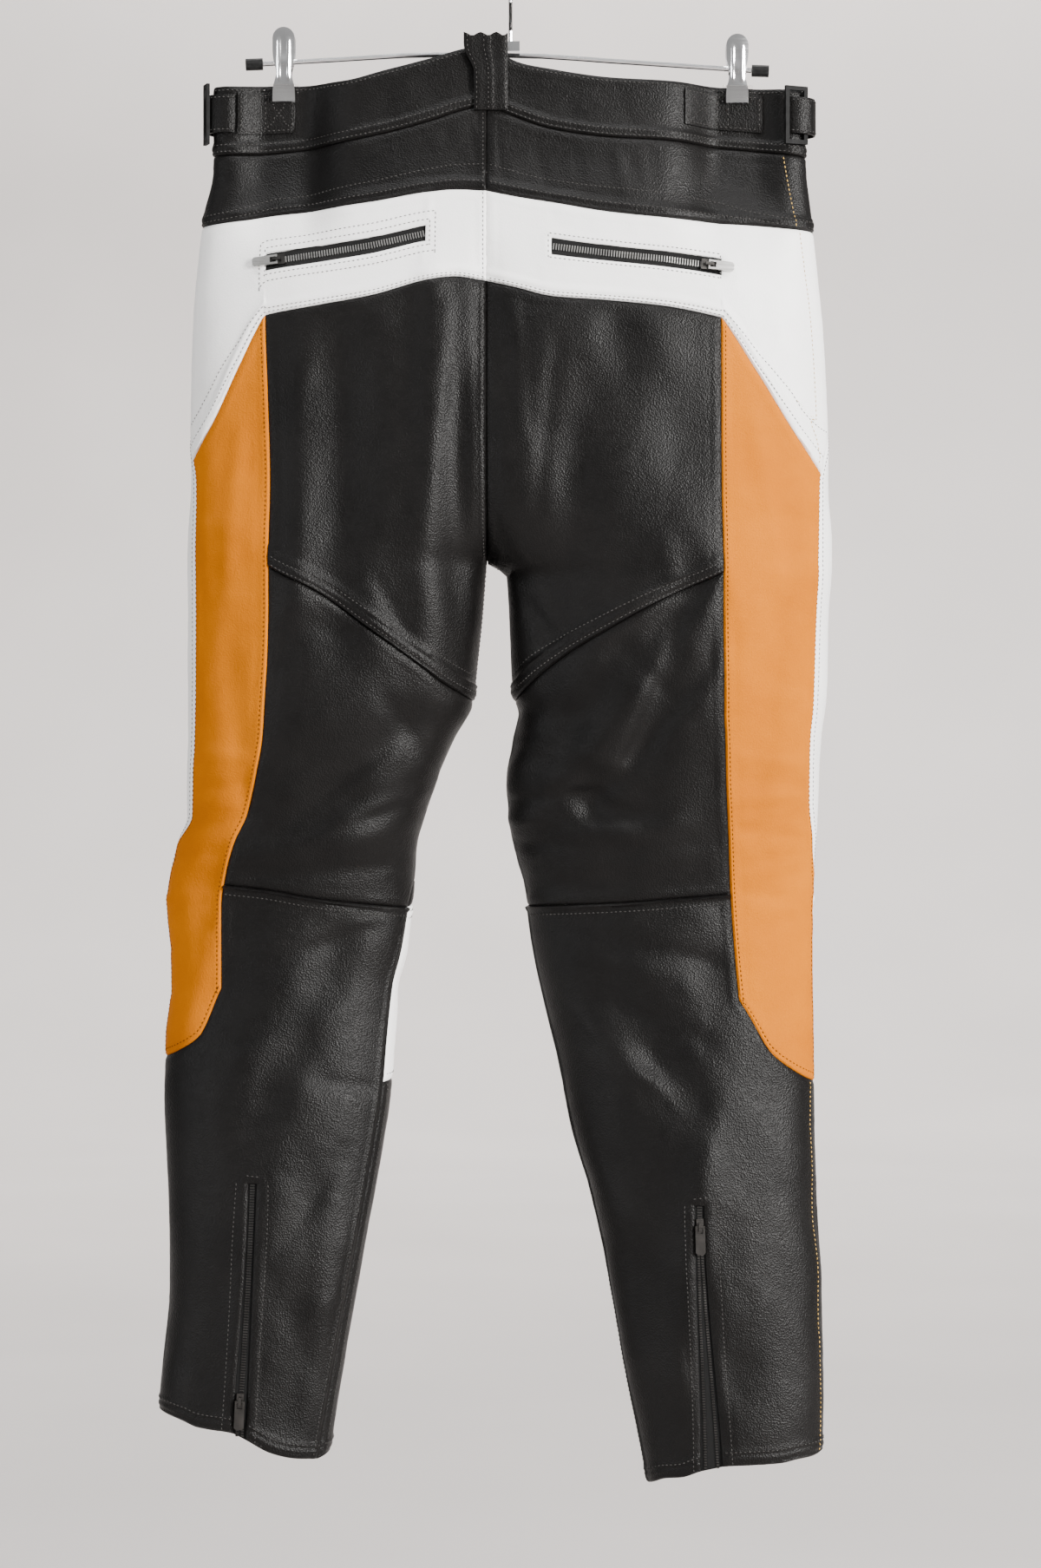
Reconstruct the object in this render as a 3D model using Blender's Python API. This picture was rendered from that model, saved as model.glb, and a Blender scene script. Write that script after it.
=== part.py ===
"""Leather motorcycle trousers hanging from a clip hanger, seen from the back at -Y.

The tables below are in millimetres, and every mesh is scaled to metres as it is made. The origin is the
inner crown of the hanger's hook. Left is the wearer's left, at -X; the fly is on the +Y side.

Each half of the garment is one sheet that runs round the leg. Columns 0 to 8 cross the back from the
inner edge to the side seam, and columns 8 to 16 come back across the front. Rows run from the waist to
the hem. A panel is a block of cells of that sheet, drawn in from its seams and given its wall.
"""

import bisect
import math

import bmesh
import bpy
from mathutils import Matrix, Vector

COLLECTION = "leather_trousers_on_hanger"
CUTTERS = "cutters"
MM = 0.001
LEFT = -1
RIGHT = 1
SIDES = {LEFT: "left", RIGHT: "right"}

# Walls and seams
LEATHER = 1.6
BAND_LEATHER = 2.6
SEAM_HALF_GAP = 0.15
REST_GAP = 0.3
LAY_LIFT = 0.7

# Centre seam and crotch
CENTRE_X = -17.0
CROTCH_Z = -449.0
BACK_RISE = 110.0
FRONT_RISE = 90.0
CENTRE_ANGLE_SINE = 0.985
ROUNDNESS = 0.85

# Hanger: the clips pinch the two waistbands together
CLIP_X = {LEFT: -172.0, RIGHT: 174.0}
PINCH_FLAT = 14.0
PINCH_WIDTH = 22.0
PINCH_TOP_Z = -112.0
PINCH_END_Z = -235.0
PINCHED_HALF = BAND_LEATHER + REST_GAP

COLUMNS = 16
SIDE_COLUMN = 8
TRIM_COLUMN = 5
ZIP_COLUMNS = (3, 4)

# Outline of each half from the back: height, inner edge, outer edge, inner edge of the side panel
OUTLINE_FIELDS = ("z", "inner", "outer", "trim")
OUTLINES = {
    LEFT: (
        (-50, -17, -226, -162),
        (-110, -17, -226, -162),
        (-150, -17, -226, -174),
        (-184, -17, -233, -182),
        (-237, -17, -239, -184),
        (-264, -17, -241, -184),
        (-324, -17, -243, -182),
        (-395, -17, -244, -180),
        (-449, -17, -246, -181),
        (-482, -19, -246, -181),
        (-522, -23, -246, -182),
        (-552, -27, -246, -184),
        (-582, -42, -246, -186),
        (-609, -54, -247, -191),
        (-642, -65, -247, -199),
        (-663, -71, -255, -209),
        (-685, -73, -261, -215),
        (-710, -75, -264, -219),
        (-745, -79, -261, -219),
        (-773, -85, -260, -219),
        (-811, -88, -264, -220),
        (-853, -91, -264, -222),
        (-900, -98, -262, -226),
        (-958, -108, -259, -230),
        (-1000, -116, -259, -232),
        (-1059, -126, -264, -234),
        (-1099, -133, -266, -236),
        (-1150, -141, -266, -238),
    ),
    RIGHT: (
        (-50, -17, 226, 162),
        (-110, -17, 226, 162),
        (-150, -17, 227, 162),
        (-188, -17, 231, 160),
        (-237, -17, 236, 160),
        (-266, -17, 239, 160),
        (-337, -17, 243, 160),
        (-395, -17, 245, 160),
        (-449, -17, 246, 161),
        (-457, -2, 246, 161),
        (-482, 0, 245, 161),
        (-549, 3, 243, 162),
        (-563, 7, 242, 162),
        (-582, 3, 240, 163),
        (-615, -2, 239, 164),
        (-653, 1, 238, 166),
        (-676, 6, 235, 167),
        (-698, 12, 235, 168),
        (-741, 18, 234, 171),
        (-784, 27, 234, 175),
        (-835, 39, 234, 182),
        (-880, 48, 234, 188),
        (-926, 62, 235, 194),
        (-999, 78, 238, 198),
        (-1072, 91, 239, 202),
        (-1134, 103, 238, 206),
        (-1150, 106, 238, 206),
    ),
}

# Depth of the hollow sheet: height, middle, reach of the back, reach of the front
DEPTH_FIELDS = ("z", "middle", "back", "front")
DEPTHS = (
    (-50, 0, 26, 20),
    (-90, 0, 28, 22),
    (-140, 0, 34, 28),
    (-190, 0, 44, 37),
    (-250, 0, 52, 45),
    (-370, 3, 60, 52),
    (-449, 6, 64, 54),
    (-550, 14, 66, 57),
    (-640, 24, 60, 55),
    (-710, 32, 54, 53),
    (-780, 28, 53, 50),
    (-850, 18, 52, 46),
    (-980, 0, 46, 40),
    (-1150, -12, 38, 32),
)

# How far the inner leg seam sits on the back of each leg, as a share of the leg's width
INSEAM_FIELDS = ("z", "share")
INSEAMS = {
    LEFT: ((-50, 0.0), (-650, 0.0), (-712, 0.035), (-845, 0.045), (-1150, 0.06)),
    RIGHT: ((-50, 0.0), (-1150, 0.0)),
}

# Share of the width at the side seam, which shows on the back of the thighs only
SIDE_SEAM_FIELDS = ("z", "share")
SIDE_SEAMS = {
    LEFT: ((-50, 1.0), (-360, 1.0), (-400, 0.985), (-640, 0.985), (-665, 1.0), (-1150, 1.0)),
    RIGHT: ((-50, 1.0), (-360, 1.0), (-400, 0.985), (-620, 0.97), (-690, 1.0), (-1150, 1.0)),
}

# Edges of the ankle zip's slit, and the shares of columns 1 to 4 above it
SLIT_FIELDS = ("z", "inner", "outer")
SLITS = {
    LEFT: ((-860, -187, -196), (-919, -188.5, -195.5), (-1104, -195, -206), (-1150, -197, -208)),
    RIGHT: ((-870, 139, 148), (-935, 139.5, 147), (-1134, 144, 161), (-1150, 144, 162)),
}
UPPER_SHARES = (0.14, 0.28, 0.52, 0.76)
SLIT_BLEND_TOP_Z = -845.0
SLIT_BLEND_END_Z = -900.0

# Seam lines: name, shares of the rows that lead down to it, heights at columns 0 to 8, and at the
# middle and the inner edge of the front
LINE_FIELDS = ("name", "steps", "c0", "c1", "c2", "c3", "c4", "c5", "c6", "c7", "c8", "c12", "c16")
EVEN_2 = (1 / 2, 1)
EVEN_3 = (1 / 3, 2 / 3, 1)
EVEN_5 = (0.2, 0.4, 0.6, 0.8, 1)
POCKET_STEPS = (0.2, 0.39, 0.55, 0.78, 1)
SEAT_STEPS = (1 / 6, 2 / 6, 3 / 6, 0.592, 4 / 6, 5 / 6, 1)
LINES = {
    LEFT: (
        ("waist", (), -57, -61, -67, -76, -84, -85, -85, -86, -86, -90, -96),
        ("band", EVEN_2, -103, -108, -115, -125, -132, -136, -138, -139, -139, -142, -146),
        ("yoke", EVEN_2, -170, -169, -171, -178, -183, -187, -190, -192, -193, -198, -202),
        ("hip", POCKET_STEPS, -239, -236, -239, -250, -257, -264, -302, -346, -371, -300, -239),
        ("seat", SEAT_STEPS, -554, -543, -528, -502, -475, -454, -450, -448, -446, -500, -554),
        ("knee", EVEN_5, -712, -710, -708, -704, -698, -694, -693, -693, -693, -700, -712),
        ("trim", EVEN_3, -845, -835, -822, -800, -785, -773, -809, -820, -826, -835, -845),
        ("slit", EVEN_3, -925, -924, -922, -919, -919, -918, -917, -916, -915, -920, -925),
        ("hem", EVEN_5, -1128, -1126, -1121, -1111, -1106, -1102, -1098, -1095, -1093, -1105, -1128),
    ),
    RIGHT: (
        ("waist", (), -57, -71, -76, -82, -84, -86, -87, -88, -89, -92, -96),
        ("band", EVEN_2, -103, -114, -122, -128, -130, -133, -135, -138, -140, -143, -146),
        ("yoke", EVEN_2, -170, -175, -179, -186, -190, -193, -194, -196, -197, -200, -202),
        ("hip", POCKET_STEPS, -239, -245, -251, -254, -258, -266, -310, -357, -382, -303, -239),
        ("seat", SEAT_STEPS, -554, -534, -518, -496, -476, -459, -455, -452, -450, -500, -554),
        ("knee", EVEN_5, -711, -710, -709, -707, -704, -701, -700, -700, -700, -705, -711),
        ("trim", EVEN_3, -860, -850, -838, -815, -796, -782, -822, -837, -845, -850, -860),
        ("slit", EVEN_3, -937, -936, -936, -935, -935, -935, -935, -935, -935, -936, -937),
        ("hem", EVEN_5, -1148, -1142, -1140, -1135, -1131, -1129, -1127, -1126, -1124, -1130, -1148),
    ),
}
LINE_COLUMNS = (0, 1, 2, 3, 4, 5, 6, 7, 8, 12, 16)

# Large folds: face, upper end, lower end, half width, height (a trough is below zero)
FOLD_FIELDS = ("face", "x0", "z0", "x1", "z1", "width", "height")
FOLDS = (
    ("back", -57, -250, -58, -540, 13, 4.5),
    ("back", -37, -330, -38, -520, 11, -5.0),
    ("back", -126, -320, -124, -500, 20, -6.0),
    ("back", -158, -300, -160, -470, 12, 3.0),
    ("back", -17, -235, -17, -410, 11, -4.5),
    ("back", 62, -330, 40, -500, 22, -4.0),
    ("back", 133, -480, 96, -600, 18, -6.0),
    ("back", 36, -552, 66, -640, 15, -5.0),
    ("back", -2, -612, 84, -640, 10, -5.0),
    ("back", 30, -668, 110, -650, 12, 3.5),
    ("back", -75, -575, -150, -640, 14, -5.0),
    ("back", -95, -655, -190, -672, 11, 4.0),
    ("back", -215, -500, -200, -640, 10, -3.5),
    ("back", 205, -420, 190, -640, 11, -3.5),
    ("back", -130, -745, -180, -850, 18, -5.0),
    ("back", 70, -760, 130, -850, 18, -5.0),
    ("back", -215, -700, -245, -790, 12, 4.5),
    ("back", 150, -900, 120, -1060, 16, 4.0),
    ("back", -150, -930, -160, -1080, 16, -4.0),
    ("front", -120, -330, -110, -520, 20, -5.5),
    ("front", 90, -340, 80, -540, 20, -5.5),
    ("front", -70, -400, -140, -470, 12, -4.0),
    ("front", 40, -400, 110, -480, 12, -4.0),
    ("front", -110, -600, -210, -655, 14, 4.5),
    ("front", 40, -620, 170, -660, 14, 4.5),
    ("front", -110, -860, -200, -830, 13, -4.5),
    ("front", 60, -870, 190, -840, 13, -4.5),
    ("front", -170, -930, -190, -1080, 16, 4.0),
    ("front", 130, -940, 150, -1090, 16, 4.0),
)

# Cut panels: name, top line, bottom line, first and last column, colour, wall
PANEL_FIELDS = ("name", "top", "bottom", "first", "last", "colour", "wall")
PANELS = (
    ("waistband_back", "waist", "band", 0, 8, "black", BAND_LEATHER),
    ("waistband_front", "waist", "band", 8, 16, "black", BAND_LEATHER),
    ("yoke_back", "band", "yoke", 0, 8, "black", LEATHER),
    ("yoke_front", "band", "yoke", 8, 16, "black", LEATHER),
    ("hip_band", "yoke", "hip", 0, 8, "white", LEATHER),
    ("seat_panel", "hip", "seat", 0, 5, "black", LEATHER),
    ("side_panel", "hip", "trim", 5, 8, "orange", LEATHER),
    ("thigh_back", "seat", "knee", 0, 5, "black", LEATHER),
    ("thigh_outer_front", "yoke", "knee", 8, 12, "white", LEATHER),
    ("thigh_inner_front", "yoke", "knee", 12, 16, "black", LEATHER),
    ("knee_front", "knee", "trim", 8, 16, "white", LEATHER),
    ("shin_front", "trim", "hem", 8, 16, "black", LEATHER),
)

# Colours: red, green, blue, roughness, metallic
MATERIALS = {
    "black": (0.012, 0.012, 0.013, 0.42, 0.0),
    "white": (0.80, 0.80, 0.79, 0.45, 0.0),
    "orange": (0.86, 0.25, 0.015, 0.45, 0.0),
    "zip": (0.02, 0.02, 0.02, 0.7, 0.0),
    "metal": (0.72, 0.72, 0.74, 0.2, 1.0),
    "plastic": (0.015, 0.015, 0.015, 0.4, 0.0),
    "rubber": (0.02, 0.02, 0.02, 0.75, 0.0),
}

# Zips
TAPE_DROP = LEATHER + 0.4
TAPE_WALL = 1.0
TAPE_MARGIN = 6.0
SLIDER_LENGTH = 12.0
SLIDER_WIDTH = {"pocket": 8.0, "ankle": 5.4}
SLIDER_BODY = 2.8
ARCH_LENGTH = 6.4
ARCH_BAR = 1.0
ARCH_WIDTH = 2.2
ARCH_SPACE = 2.2
TAB_BAR = 1.2
TAB_WIDTH = 7.4
TAB_EYE_LENGTH = 4.6
TAB_EYE_WIDTH = 4.2
# Sliders: side, zip, seam line above, rows below it, column, rows and columns on to where the tab points
SLIDER_FIELDS = ("side", "zip", "line", "rows", "column", "aim_rows", "aim_columns", "tab")
SLIDERS = (
    (LEFT, "pocket", "yoke", 2.5, 4.78, 0.0, 0.2, 19),
    (RIGHT, "pocket", "yoke", 2.5, 4.78, 0.0, 0.2, 19),
    (LEFT, "ankle", "slit", 4.3, 3.5, 0.6, 0.0, 21),
    (RIGHT, "ankle", "slit", 0.4, 3.5, 0.6, 0.0, 21),
)

# Waist adjusters
PATCH_COLUMNS = {LEFT: (5.05, 5.5, 6.0, 6.5, 6.95), RIGHT: (4.3, 4.65, 5.0, 5.5, 6.0, 6.35)}
ADJUSTER_ROWS = (0.2, 0.6, 1.0, 1.4)
PATCH_WALL = 1.8
STRAP_WALL = 1.8
STRAP_LIFTS = {LEFT: (0.8, 2.2, 3.0, 2.2, 0.8), RIGHT: (0.8, 4.5, 6.5, 4.5, 0.8)}
STRAP_COLUMNS = {LEFT: (7.05, 7.5, 8.0, 8.5, 8.95), RIGHT: (7.15, 7.6, 8.0, 8.4, 8.85)}
RING_WALL = 2.4
RING_BAR = 3.2
RINGS = {
    LEFT: {"size": (11, 46), "column": 7.75},
    RIGHT: {"size": (19, 44), "column": 7.4},
}

# Belt loop at centre back: height and how far its inner face stands off the band
LOOP_X = (-26.5, -1.0)
LOOP_WALL = 2.0
LOOP_RISE = ((-108, 0.7), (-98, 1.6), (-86, 3.0), (-76, 3.2), (-68, 2.4))
LOOP_FOLD_Z = (-55.0, -50.5)

# Fly
PLACKET_X = (-34, 2)
PLACKET_Z = (-150, -318)
PLACKET_WALL = 1.6
STUD_RADIUS = 8.0
STUD_HEIGHT = 3.0
STUD_AT = (-6.0, -121.0)

# Hanger
ROD_RADIUS = 2.0
ROD_POINTS = ((-188, -67.6), (-130, -64.2), (-58, -60.6), (8, -61.2), (90, -66.2), (150, -70.2), (185, -72.6))
CAP_RADIUS = 4.6
CAP_LENGTH = 13.0
HOOK_RADIUS = 1.5
HOOK_CROWN = 17.0
HOOK_X = 1.0
SHANK_TOP_Z = -42.0
BRACKET = {"x": (-5.0, 8.0), "y": (-5.0, 5.0), "z": (-58.4, -51.0)}
SLEEVE_RADIUS = 4.4
SLEEVE_BORE = 2.9
SLEEVE_LENGTH = 13.0
JAW_WIDTH = 17.0
JAW_WALL = 1.5
JAW_TOP_RISE = 26.0
JAW_PAD_HEIGHT = 13.0
JAW_BITE = 12.0


def rows_of(fields, table):
    """Turn a table into one dictionary a row."""
    return [dict(zip(fields, row)) for row in table]


def smooth_step(start, end, value):
    t = min(max((value - start) / (end - start), 0.0), 1.0)
    return t * t * (3.0 - 2.0 * t)


def curve(xs, ys, x, corners=()):
    """A smooth curve without overshoot through rising xs, with a kink at each listed corner."""
    last = len(xs) - 1
    x = min(max(x, xs[0]), xs[last])
    k = min(max(bisect.bisect_right(xs, x) - 1, 0), last - 1)
    span = xs[k + 1] - xs[k]
    slope = (ys[k + 1] - ys[k]) / span

    def tangent(n):
        if n in (0, last) or xs[n] in corners:
            return slope
        before = (ys[n] - ys[n - 1]) / (xs[n] - xs[n - 1])
        after = (ys[n + 1] - ys[n]) / (xs[n + 1] - xs[n])
        if before * after <= 0.0:
            return 0.0
        return 2.0 * before * after / (before + after)

    t = (x - xs[k]) / span
    start = ys[k] * (1 + 2 * t) * (1 - t) ** 2 + tangent(k) * span * t * (1 - t) ** 2
    end = ys[k + 1] * (3 - 2 * t) * t ** 2 + tangent(k + 1) * span * (t - 1) * t ** 2
    return start + end


def profile(table, fields):
    """Read a table by depth below the origin: one function for each column after z."""
    falls = [-row[0] for row in table]

    def reader(index):
        values = [row[index] for row in table]
        return lambda z: curve(falls, values, -z)

    return {name: reader(index) for index, name in enumerate(fields) if index > 0}


OUTLINE = {side: profile(OUTLINES[side], OUTLINE_FIELDS) for side in SIDES}
DEPTH = profile(DEPTHS, DEPTH_FIELDS)
INSEAM = {side: profile(INSEAMS[side], INSEAM_FIELDS) for side in SIDES}
SIDE_SEAM = {side: profile(SIDE_SEAMS[side], SIDE_SEAM_FIELDS) for side in SIDES}
SLIT = {side: profile(SLITS[side], SLIT_FIELDS) for side in SIDES}
FOLD_ROWS = rows_of(FOLD_FIELDS, FOLDS)


def row_table():
    """The row of each seam line, and for each row its upper line and its share of the way down."""
    line_rows = {}
    steps = []
    for index, row in enumerate(rows_of(LINE_FIELDS, LINES[LEFT])):
        steps += [(index - 1, share) for share in row["steps"]] or [(0, 0.0)]
        line_rows[row["name"]] = len(steps) - 1
    return line_rows, steps


LINE_ROW, ROW_STEPS = row_table()
ROWS = len(ROW_STEPS) - 1
CROTCH_ROW = LINE_ROW["hip"] + 5


def line_height(side, line, column):
    heights = LINES[side][line][2:]
    return curve(LINE_COLUMNS, heights, column, corners=(TRIM_COLUMN, SIDE_COLUMN))


def height(side, row, column):
    """Height of a point of the sheet."""
    def at(whole):
        line, share = ROW_STEPS[whole]
        top = line_height(side, line, column)
        return top + (line_height(side, line + 1, column) - top) * share

    low = min(max(int(math.floor(row)), 0), ROWS - 1)
    return at(low) + (at(low + 1) - at(low)) * (row - low)


def centre_angle(z, rise):
    """Where the sheet stops at the centre seam: at the inner edge below the crotch, flat well above it."""
    t = min(max((z - CROTCH_Z) / rise, 0.0), 1.0)
    return math.asin(min(math.sqrt(1.0 - (1.0 - t) ** 2), CENTRE_ANGLE_SINE))


def column_shares(side, z):
    """Share of the half's width at each column, from the inner edge to the side seam."""
    inner = OUTLINE[side]["inner"](z)
    width = OUTLINE[side]["outer"](z) - inner
    first = INSEAM[side]["share"](z)
    last = SIDE_SEAM[side]["share"](z)
    trim = (OUTLINE[side]["trim"](z) - inner) / width
    slit = [(SLIT[side][edge](z) - inner) / width for edge in ("inner", "outer")]
    calf = (slit[0] / 3, slit[0] * 2 / 3, slit[0], slit[1])
    blend = smooth_step(SLIT_BLEND_TOP_Z, SLIT_BLEND_END_Z, z)
    shares = [first]
    for upper, lower in zip(UPPER_SHARES, calf):
        above = first + (trim - first) * upper
        below = first + (trim - first) * lower / trim
        shares.append(above + (below - above) * blend)
    shares.append(trim)
    shares.append(trim + (last - trim) * 0.36)
    shares.append(trim + (last - trim) * 0.72)
    shares.append(last)
    return shares


def fold_height(face, x, z):
    total = 0.0
    for fold in FOLD_ROWS:
        if fold["face"] != face:
            continue
        run = (fold["x1"] - fold["x0"], fold["z1"] - fold["z0"])
        length = math.hypot(*run)
        along = ((x - fold["x0"]) * run[0] + (z - fold["z0"]) * run[1]) / length
        across = ((x - fold["x0"]) * run[1] - (z - fold["z0"]) * run[0]) / length
        over = max(-along, along - length, 0.0)
        total += fold["height"] * math.exp(-(across / fold["width"]) ** 2 - (over / 30.0) ** 2)
    return total


def point(side, row, column):
    """A point of the sheet, in millimetres."""
    z = height(side, row, column)
    shares = column_shares(side, z)
    back = column <= SIDE_COLUMN
    mirrored = column if back else COLUMNS - column
    share = curve(range(SIDE_COLUMN + 1), shares, mirrored)
    if not back and shares[0] > 0.0 and mirrored < 2.0:
        wrap = min(shares[0] / 0.03, 1.0)
        target = shares[0] * (1.0 - mirrored) if mirrored < 1.0 else shares[2] * (mirrored - 1.0)
        share += (target - share) * wrap
        back = mirrored < 1.0 and wrap == 1.0
    rise = BACK_RISE if back else FRONT_RISE
    centre = centre_angle(z, rise)
    cosine = math.cos(centre) - share * (1.0 + math.cos(centre))
    sine = math.sqrt(max(1.0 - cosine * cosine, 0.0))
    inner = OUTLINE[side]["inner"](z)
    x = inner + share * (OUTLINE[side]["outer"](z) - inner)
    reach = DEPTH["back" if back else "front"](z) * sine ** ROUNDNESS
    reach += fold_height("back" if back else "front", x, z) * sine ** 2 * smooth_step(-150, -250, z)
    beside = max(abs(x - CLIP_X[side]) - PINCH_FLAT, 0.0)
    pinch = math.exp(-(beside / PINCH_WIDTH) ** 2) * smooth_step(PINCH_END_Z, PINCH_TOP_Z, z)
    if abs(x) > abs(CLIP_X[side]) and reach < PINCHED_HALF:
        pinch = 0.0
    reach = PINCHED_HALF + (reach - PINCHED_HALF) * (1.0 - pinch)
    y = DEPTH["middle"](z) + (-reach if back else reach)
    return Vector((x, y, z))


def normal(side, row, column):
    """Outward normal of the sheet. It is shared by the panels that meet at a seam."""
    small = 0.05
    above_crotch = row <= CROTCH_ROW
    at_centre = column in (0, COLUMNS)
    if at_centre and row == CROTCH_ROW:
        return Vector((0.0, 0.0, -1.0))
    low = min(row + small, CROTCH_ROW if at_centre and above_crotch else ROWS)
    high = max(row - small, 0 if above_crotch or not at_centre else CROTCH_ROW)
    down = point(side, low, column) - point(side, high, column)
    if at_centre and above_crotch:
        across = Vector((side, 0.0, 0.0)) * (1 if column == 0 else -1)
    elif at_centre:
        across = point(side, row, small) - point(side, row, COLUMNS - small)
    else:
        across = point(side, row, min(column + small, COLUMNS)) - point(side, row, max(column - small, 0))
    outward = down.cross(across) * side
    return outward.normalized()


def make_sheet(side):
    points = [[point(side, r, c) for c in range(COLUMNS + 1)] for r in range(ROWS + 1)]
    normals = [[normal(side, r, c) for c in range(COLUMNS + 1)] for r in range(ROWS + 1)]
    return points, normals


SHEET = {side: make_sheet(side) for side in SIDES}


def collection(name):
    made = bpy.data.collections.new(name)
    bpy.context.scene.collection.children.link(made)
    return made


def clear_scene():
    for thing in list(bpy.data.objects):
        bpy.data.objects.remove(thing, do_unlink=True)


clear_scene()
PARTS = collection(COLLECTION)
CUTS = collection(CUTTERS)


def material(node, colour):
    red, green, blue, roughness, metallic = MATERIALS[colour]
    made = bpy.data.materials.new(node)
    made.use_nodes = True
    shader = made.node_tree.nodes["Principled BSDF"]
    shader.inputs["Base Color"].default_value = (red, green, blue, 1.0)
    shader.inputs["Roughness"].default_value = roughness
    shader.inputs["Metallic"].default_value = metallic
    made.diffuse_color = (red, green, blue, 1.0)
    return made


def add_object(name, mesh, colour, sharp_angle=40.0):
    made = bpy.data.objects.new(name, mesh)
    PARTS.objects.link(made)
    mesh.materials.append(material(name, colour))
    mesh.shade_smooth()
    mesh.set_sharp_from_angle(angle=math.radians(sharp_angle))
    return made


def shell_mesh(name, outer, inner, faces):
    """Close two layers of the same faces with a rim, split alike on both sides of a seam."""
    count = len(outer)
    edges = {}
    for face in faces:
        for a, b in zip(face, face[1:] + face[:1]):
            edges[(a, b)] = edges.get((b, a), 0) + 1
    rim = [edge for edge in edges if (edge[1], edge[0]) not in edges]
    solid = [tuple(face) for face in faces]
    solid += [tuple(index + count for index in reversed(face)) for face in faces]
    for a, b in rim:
        if a < b:
            solid += [(b, a, b + count), (a, a + count, b + count)]
        else:
            solid += [(b, a, a + count), (b, a + count, b + count)]
    mesh = bpy.data.meshes.new(name)
    mesh.from_pydata([tuple(p * MM) for p in outer + inner], [], solid)
    work = bmesh.new()
    work.from_mesh(mesh)
    bmesh.ops.recalc_face_normals(work, faces=work.faces)
    if work.calc_volume(signed=True) < 0.0:
        bmesh.ops.reverse_faces(work, faces=work.faces)
    work.to_mesh(mesh)
    work.free()
    return mesh


def seam_shifts(side, cells):
    """How each corner of a block of cells moves in from the seams that it lies on."""
    points, normals = SHEET[side]
    inward = {}
    for r, c in cells:
        corners = ((r, c), (r, c + 1), (r + 1, c + 1), (r + 1, c))
        beside = ((r - 1, c), (r, c + 1), (r + 1, c), (r, c - 1))
        middle = sum((points[a][b] for a, b in corners), Vector()) / 4
        for k, neighbour in enumerate(beside):
            if neighbour in cells:
                continue
            start, end = corners[k], corners[(k + 1) % 4]
            for a, b in (start, end):
                edge = points[end[0]][end[1]] - points[start[0]][start[1]]
                way = normals[a][b].cross(edge).normalized()
                if way.dot(middle - points[a][b]) < 0.0:
                    way = -way
                inward.setdefault((a, b), []).append(way)
    shifts = {}
    for corner, ways in inward.items():
        total = sum(ways, Vector())
        spread = 1.0 + ways[0].dot(ways[-1]) if len(ways) > 1 else 1.0
        shifts[corner] = total * (SEAM_HALF_GAP / max(spread, 0.4))
    return shifts


def build_panel(name, side, cells, colour, wall):
    points, normals = SHEET[side]
    shifts = seam_shifts(side, cells)
    corners = sorted({(r + a, c + b) for r, c in cells for a in (0, 1) for b in (0, 1)})
    index = {corner: k for k, corner in enumerate(corners)}
    outer = [points[r][c] + shifts.get((r, c), Vector()) for r, c in corners]
    inner = [p - normals[r][c] * wall for p, (r, c) in zip(outer, corners)]
    faces = []
    for r, c in sorted(cells):
        a, b = index[(r, c)], index[(r, c + 1)]
        d, e = index[(r + 1, c + 1)], index[(r + 1, c)]
        faces += [[a, b, d], [a, d, e]]
    if side == LEFT:
        faces = [face[::-1] for face in faces]
    return add_object(name, shell_mesh(name, outer, inner, faces), colour)


def block(top, bottom, first, last):
    rows = range(LINE_ROW[top], LINE_ROW[bottom])
    return {(r, c) for r in rows for c in range(first, last)}


def build_garment():
    pocket_top = LINE_ROW["yoke"] + 2
    pocket = {(pocket_top, c) for c in range(2, TRIM_COLUMN)}
    slit = block("slit", "hem", *ZIP_COLUMNS)
    calf = block("knee", "trim", 0, TRIM_COLUMN) | block("trim", "hem", 0, SIDE_COLUMN)
    for side, word in SIDES.items():
        for panel in rows_of(PANEL_FIELDS, PANELS):
            cells = block(panel["top"], panel["bottom"], panel["first"], panel["last"])
            if panel["name"] == "hip_band":
                cells -= pocket
            build_panel(panel["name"] + "_" + word, side, cells, panel["colour"], panel["wall"])
        build_panel("calf_back_" + word, side, calf - slit, "black", LEATHER)


def facet_point(side, x, z, face="back"):
    """The point and normal of the sheet's facets straight behind a place in the picture."""
    points, normals = SHEET[side]
    columns = range(0, SIDE_COLUMN) if face == "back" else range(SIDE_COLUMN, COLUMNS)
    best = None
    for r in range(ROWS):
        for c in columns:
            corners = ((r, c), (r, c + 1), (r + 1, c + 1), (r + 1, c))
            for triple in ((0, 1, 2), (0, 2, 3)):
                keys = [corners[k] for k in triple]
                p = [points[a][b] for a, b in keys]
                area = (p[1].x - p[0].x) * (p[2].z - p[0].z) - (p[2].x - p[0].x) * (p[1].z - p[0].z)
                if abs(area) < 1e-6:
                    continue
                u = ((x - p[0].x) * (p[2].z - p[0].z) - (p[2].x - p[0].x) * (z - p[0].z)) / area
                v = ((p[1].x - p[0].x) * (z - p[0].z) - (x - p[0].x) * (p[1].z - p[0].z)) / area
                slack = min(u, v, 1.0 - u - v)
                if best is None or slack > best[0]:
                    best = (slack, keys, p, (1.0 - u - v, u, v))
    _, keys, p, weights = best
    place = sum((q * w for q, w in zip(p, weights)), Vector())
    out = sum((normals[a][b] * w for (a, b), w in zip(keys, weights)), Vector())
    return place, out.normalized()


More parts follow.
